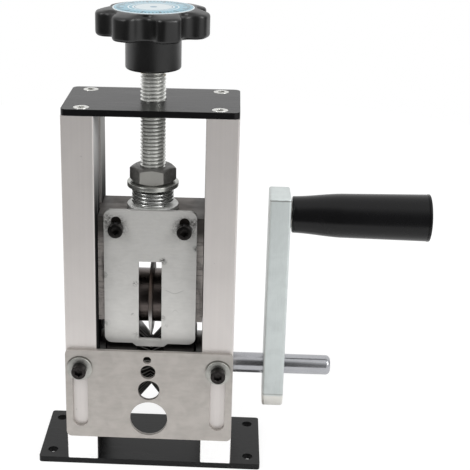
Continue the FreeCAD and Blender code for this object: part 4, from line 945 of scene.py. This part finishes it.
class MakePlates(Piece):
    """Makes the plates and the slide block with eased edges"""
    bl_idname = "stripper.plates"
    bl_label = "Plates and block"

    def make(self, sizes, colours):
        """Eases each plate and gives it its finish."""
        for node, name, body, finish, slot in (
                ("base_plate", "bench_plate", "frame", "black_paint", "black_plate"),
                ("top_plate", "head_plate", "frame", "black_paint", "black_plate"),
                ("wire_guide_plate", "guide_plate", "wire_guide", "guide_steel", "bright_plate"),
                ("cover_plate", "blade_cover", "carriage", "cover_steel", "bright_plate"),
                ("slide_block", "blade_block", "carriage", "block", "black_block")):
            fitted(machined(node, name, sizes.easing), body, finish, node)


class MakeRoller(Piece):
    """Makes the drive shaft and the grooved feed roller"""
    bl_idname = "stripper.roller"
    bl_label = "Roller and shaft"

    def make(self, sizes, colours):
        """Turns the shaft with a rounded end and cuts the roller's teeth."""
        tail, end, middle, size = box("drive_shaft")
        radius = size.z / 2
        stub = next(mount["dims"]["r_mm"] for mount in frame["record"]["mounts"]
                    if mount["kind"] == "pin") * MM
        shoulder = box("crank_arm").high.x + 0.4 * MM
        shaft = loft("polished_shaft", rounded([
            (tail.x, 0), (tail.x, radius, 0.5 * MM), (shoulder, radius), (shoulder, stub),
            (end.x, stub, 2.2 * MM), (end.x, 0)]), 96, TURNED_TO_X, (0, 0, middle.z))
        fitted(shaft, "crank", "polished", "drive_shaft")
        fitted(toothed_roller(sizes), "crank", "roller", "feed_roller")


class MakeBlade(Piece):
    """Makes the round blade and its two collars"""
    bl_idname = "stripper.blade"
    bl_label = "Blade"

    def make(self, sizes, colours):
        """Turns the blade and eases the collars."""
        _, _, middle, size = box("round_blade")
        half, rim, bore, edge = size.x / 2, size.z / 2, 6.5 * MM, 0.05 * MM
        flat = rim - sizes.blade_bevel
        blade = loft("cutting_disc", [(-half, bore), (half, bore), (half, flat), (edge, rim),
                                      (-edge, rim), (-half, flat)],
                     180, TURNED_TO_X, middle, tube=True)
        fitted(blade, "blade", "blade", "round_blade")
        for node, name in (("blade_hub", "hub_collar"), ("blade_clamp_collar", "clamp_collar")):
            fitted(machined(node, name, sizes.easing), "blade", "collar", node)


class MakeGrip(Piece):
    """Makes the turning handle grip"""
    bl_idname = "stripper.grip"
    bl_label = "Grip"

    def make(self, sizes, colours):
        """Turns the grip from its swelling half section."""
        low, _, middle, size = box("handle_grip")
        length, far, steps = size.x, size.z / 2, 12
        near, waist, taper, bore, pocket = 8.7 * MM, 10.45 * MM, 25 * MM, 4.05 * MM, 7.1 * MM
        floor, lip = length - 4.5 * MM, length - 1.6 * MM
        section = [(0, near - 0.6 * MM), (0.2 * MM, near - 0.2 * MM), (0.6 * MM, near)]
        for step in range(1, steps + 1):
            share = step / steps
            swell = share * share * (3 - 2 * share)
            section.append((taper * share, near + (waist - near) * swell))
        section += [(lip, far - 0.15 * MM), (lip + 0.15 * MM, far - 0.32 * MM),
                    (lip + 0.35 * MM, far - 0.32 * MM), (lip + 0.5 * MM, far - 0.05 * MM),
                    (length - 0.4 * MM, far), (length - 0.1 * MM, far - 0.1 * MM),
                    (length, far - 0.4 * MM), (length, pocket + 0.4 * MM),
                    (length - 0.4 * MM, pocket), (floor, pocket), (floor, bore), (0, bore)]
        grip = loft("handle_sleeve", section, 96, TURNED_TO_X, (low.x, 0, middle.z), tube=True)
        fitted(grip, "handle", "grip_plastic", "handle_grip")


class MakeScrews(Piece):
    """Makes the cap screws, washers and countersunk screws"""
    bl_idname = "stripper.screws"
    bl_label = "Screws and washers"

    def make(self, sizes, colours):
        """Sets out one modelled screw of each kind."""
        to_front = (math.radians(90), 0, 0)
        head_height = 4 * MM
        for node, name, body in (("guide_plate_screws", "guide_cap_screws", "frame"),
                                 ("cover_plate_screws", "cover_cap_screws", "carriage")):
            low, _, middle, _ = box(node)
            fasteners(node, name, body, "black_oxide", cap_screw(), 7 * MM, 1,
                      (middle.x, low.y + head_height, middle.z), to_front)
        _, high, middle, _ = box("guide_plate_washers")
        rim, thickness = 6 * MM, 1 * MM
        washer = ring("washer", (0, 0, thickness / 2), thickness, rim, 2.05 * MM, (0.2, 0.3), 3, 72)
        fasteners("guide_plate_washers", "guide_washers", "frame", "guide_washer", washer,
                  2 * rim, 1, (middle.x, high.y, middle.z), to_front)
        for node, name, end, turn in (("top_plate_screws", "head_screws", "high", (0, 0, 0)),
                                      ("base_screws", "foot_screws", "low", (math.pi, 0, 0))):
            spot = box(node)
            fasteners(node, name, "frame", "bright_screw", countersunk_screw(), 7.6 * MM, 2,
                      (spot.middle.x, spot.middle.y, getattr(spot, end).z), turn)


class MakeRod(Piece):
    """Makes the threaded adjusting rod and its nut"""
    bl_idname = "stripper.threaded_rod"
    bl_label = "Threaded rod"

    def make(self, sizes, colours):
        """Winds the thread and turns off the nut's corners."""
        fitted(screw_thread(sizes), "adjusting_screw", "thread", "adjusting_rod")
        fitted(chamfered_nut(), "adjusting_screw", "nut", "pressure_nut")


class MakeSpring(Piece):
    """Makes the pressure spring and the washers above and below it"""
    bl_idname = "stripper.spring"
    bl_label = "Spring and washers"

    def make(self, sizes, colours):
        """Winds the spring, turns the washers and gives the spring its own mesh."""
        spring, spot, play = coil_spring(sizes), box("pressure_spring"), 1.2 * MM
        fitted(spring, "carriage", "spring", "pressure_spring")
        for node, name, body, finish in (
                ("lower_washer", "lower_thrust_washer", "carriage", "washer"),
                ("upper_washer", "upper_thrust_washer", "screw_carrier", "grey_washer")):
            _, _, middle, size = box(node)
            washer = ring(name, middle, size.z, size.x / 2, 6.4 * MM)
            fitted(washer, body, finish, node)
        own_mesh(spring)


class MakeKnob(Piece):
    """Makes the star knob and the disc on top of it"""
    bl_idname = "stripper.knob"
    bl_label = "Knob"

    def make(self, sizes, colours):
        """Lofts the knob and turns the disc."""
        fitted(star_knob(sizes), "adjusting_screw", "knob_plastic", "knob_body")
        _, _, middle, size = box("knob_label")
        top, edge = size.z / 2, size.x / 2
        disc = loft("dial_disc", rounded([(-top, 0), (-top, edge), (top, edge, 0.15 * MM),
                                          (top, 0)], 3), 144, at=middle)
        fitted(disc, "adjusting_screw", "dial", "knob_label")


# ---------------------------------------------------------------- studio
class MakeStudio(bpy.types.Operator):
    """Makes the floor, the light and the camera"""
    bl_idname = "stripper.studio"
    bl_label = "Studio"
    bl_options = {"REGISTER", "UNDO"}

    def execute(self, context):
        """Builds the studio from its settings."""
        studio = context.scene.stripper_studio
        make_floor(studio)
        make_world(context.scene, studio)
        add_lamp(context.scene, "left lamp", (-1.5, -1.2, 1.5), studio.key)
        add_lamp(context.scene, "right lamp", (1.7, -1.0, 1.3), studio.key)
        add_camera(context.scene, studio)
        context.scene.view_settings.view_transform = "Standard"
        return {"FINISHED"}


def make_floor(studio):
    """Pale round table that shows white to the camera and keeps the object's shadow."""
    floor = loft("pale_table", [(-20 * MM, studio.table), (0, studio.table), (0, 0)], 96,
                 at=(0, studio.table - studio.table_front, 0))
    pale, seen = (0.86,) * 3, (0.24,) * 3
    finish = Finish("pale_table", pale, 0.9)
    rays = finish.add("ShaderNodeLightPath").outputs
    mirrored = finish.maths("MAXIMUM", rays["Is Glossy Ray"], rays["Is Transmission Ray"])
    finish.tint(rays["Is Camera Ray"], seen)
    floor.data.materials.append(finish.done(
        Emission_Color=(*WHITE, 1),
        Emission_Strength=finish.maths("ADD", finish.times(rays["Is Camera Ray"], 0.82),
                                       finish.times(mirrored, 0.22))))


def make_world(scene, studio):
    """White to the camera, a plain light all round, and a room with dark sides for polish."""
    scene.world = bpy.data.worlds.new("plain_studio")
    scene.world.use_nodes = True
    nodes = Nodes(scene.world.node_tree)
    way = nodes.add("ShaderNodeTexCoord").outputs["Generated"]

    def lobe(bearing, climb, outer, inner, left):
        """What is left of the light in a soft round patch of the room."""
        turn = math.radians(bearing)
        spot = Vector((math.sin(turn), -math.cos(turn), climb)).normalized()
        aim = nodes.add("ShaderNodeVectorMath", {0: way, 1: spot}, operation="DOT_PRODUCT")
        return nodes.window(aim.outputs["Value"], math.cos(math.radians(outer)),
                            math.cos(math.radians(inner)), 1.0, left)

    front = lobe(-32, 0.1, 66, 40, 1 - studio.dusk)
    side = lobe(102, 0.0, 34, 14, 0.25)
    rays = nodes.add("ShaderNodeLightPath").outputs
    room = nodes.add("ShaderNodeMix", {0: rays["Is Glossy Ray"], 2: studio.room,
                                       3: nodes.times(front, side, studio.mirrored)})
    level = nodes.add("ShaderNodeMix", {0: rays["Is Camera Ray"], 2: room.outputs[0], 3: 1.0})
    backdrop = nodes.tree.nodes["Background"].inputs
    nodes.feed(backdrop["Color"], (*WHITE, 1))
    nodes.feed(backdrop["Strength"], level.outputs[0])


def add_lamp(scene, name, spot, power):
    """A large soft lamp that looks at the object."""
    light = bpy.data.lights.new(name, "AREA")
    light.shape, light.energy = "RECTANGLE", power
    light.size, light.size_y = 0.8, 1.3
    lamp = bpy.data.objects.new(name, light)
    scene.collection.objects.link(lamp)
    lamp.location = spot
    lamp.rotation_euler = (Vector((0, 0, 0.1)) - Vector(spot)).to_track_quat("-Z", "Y").to_euler()


def add_camera(scene, studio):
    """A camera in front and above, a little to the right."""
    turn, dip, roll = math.radians(3.03), math.radians(-18.99), math.radians(-0.54)
    ahead = Vector((-math.sin(turn) * math.cos(dip), math.cos(turn) * math.cos(dip),
                    math.sin(dip)))
    level = Vector((math.cos(turn), math.sin(turn), 0))
    upward = level.cross(ahead)
    right = math.cos(roll) * level - math.sin(roll) * upward
    up = math.sin(roll) * level + math.cos(roll) * upward
    lens = bpy.data.cameras.new("camera")
    lens.lens, lens.sensor_width = studio.focal, 36
    lens.shift_x, lens.shift_y = 0.1323, -0.0745
    camera = bpy.data.objects.new("camera", lens)
    scene.collection.objects.link(camera)
    place = Matrix((right, up, -ahead)).transposed().to_4x4()
    place.translation = (0.0355, -0.4922, 0.3008)
    camera.matrix_world = place
    scene.camera = camera


# ---------------------------------------------------------------- panel and registration
STEPS = (MakeFinishes, MakeFrame, MakePlates, MakeRoller, MakeBlade, MakeGrip, MakeScrews, MakeRod,
         MakeSpring, MakeKnob, MakeStudio)
SETTINGS = {"stripper_colours": StripperColours, "stripper_sizes": StripperSizes,
            "stripper_studio": StripperStudio}


class StripperPanel(bpy.types.Panel):
    """Steps and settings of the wire stripper"""
    bl_idname = "VIEW3D_PT_wire_stripper"
    bl_label = "Wire stripper"
    bl_space_type = "VIEW_3D"
    bl_region_type = "UI"
    bl_category = "Wire stripper"

    def draw(self, context):
        """Lists the steps and the settings."""
        for step in STEPS:
            self.layout.operator(step.bl_idname)
        for group in SETTINGS:
            column = self.layout.column()
            for name in SETTINGS[group].__annotations__:
                column.prop(getattr(context.scene, group), name)


CLASSES = (*SETTINGS.values(), *STEPS, StripperPanel)


def register():
    """Registers the settings, the steps and the panel."""
    for item in CLASSES:
        bpy.utils.register_class(item)
    for name, group in SETTINGS.items():
        setattr(bpy.types.Scene, name, PointerProperty(type=group))


def unregister():
    """Takes them away again."""
    for name in SETTINGS:
        delattr(bpy.types.Scene, name)
    for item in reversed(CLASSES):
        bpy.utils.unregister_class(item)


def main():
    """Runs every step in order."""
    register()
    for step in STEPS:
        group, name = step.bl_idname.split(".")
        getattr(getattr(bpy.ops, group), name)()


if __name__ == "__main__":
    main()
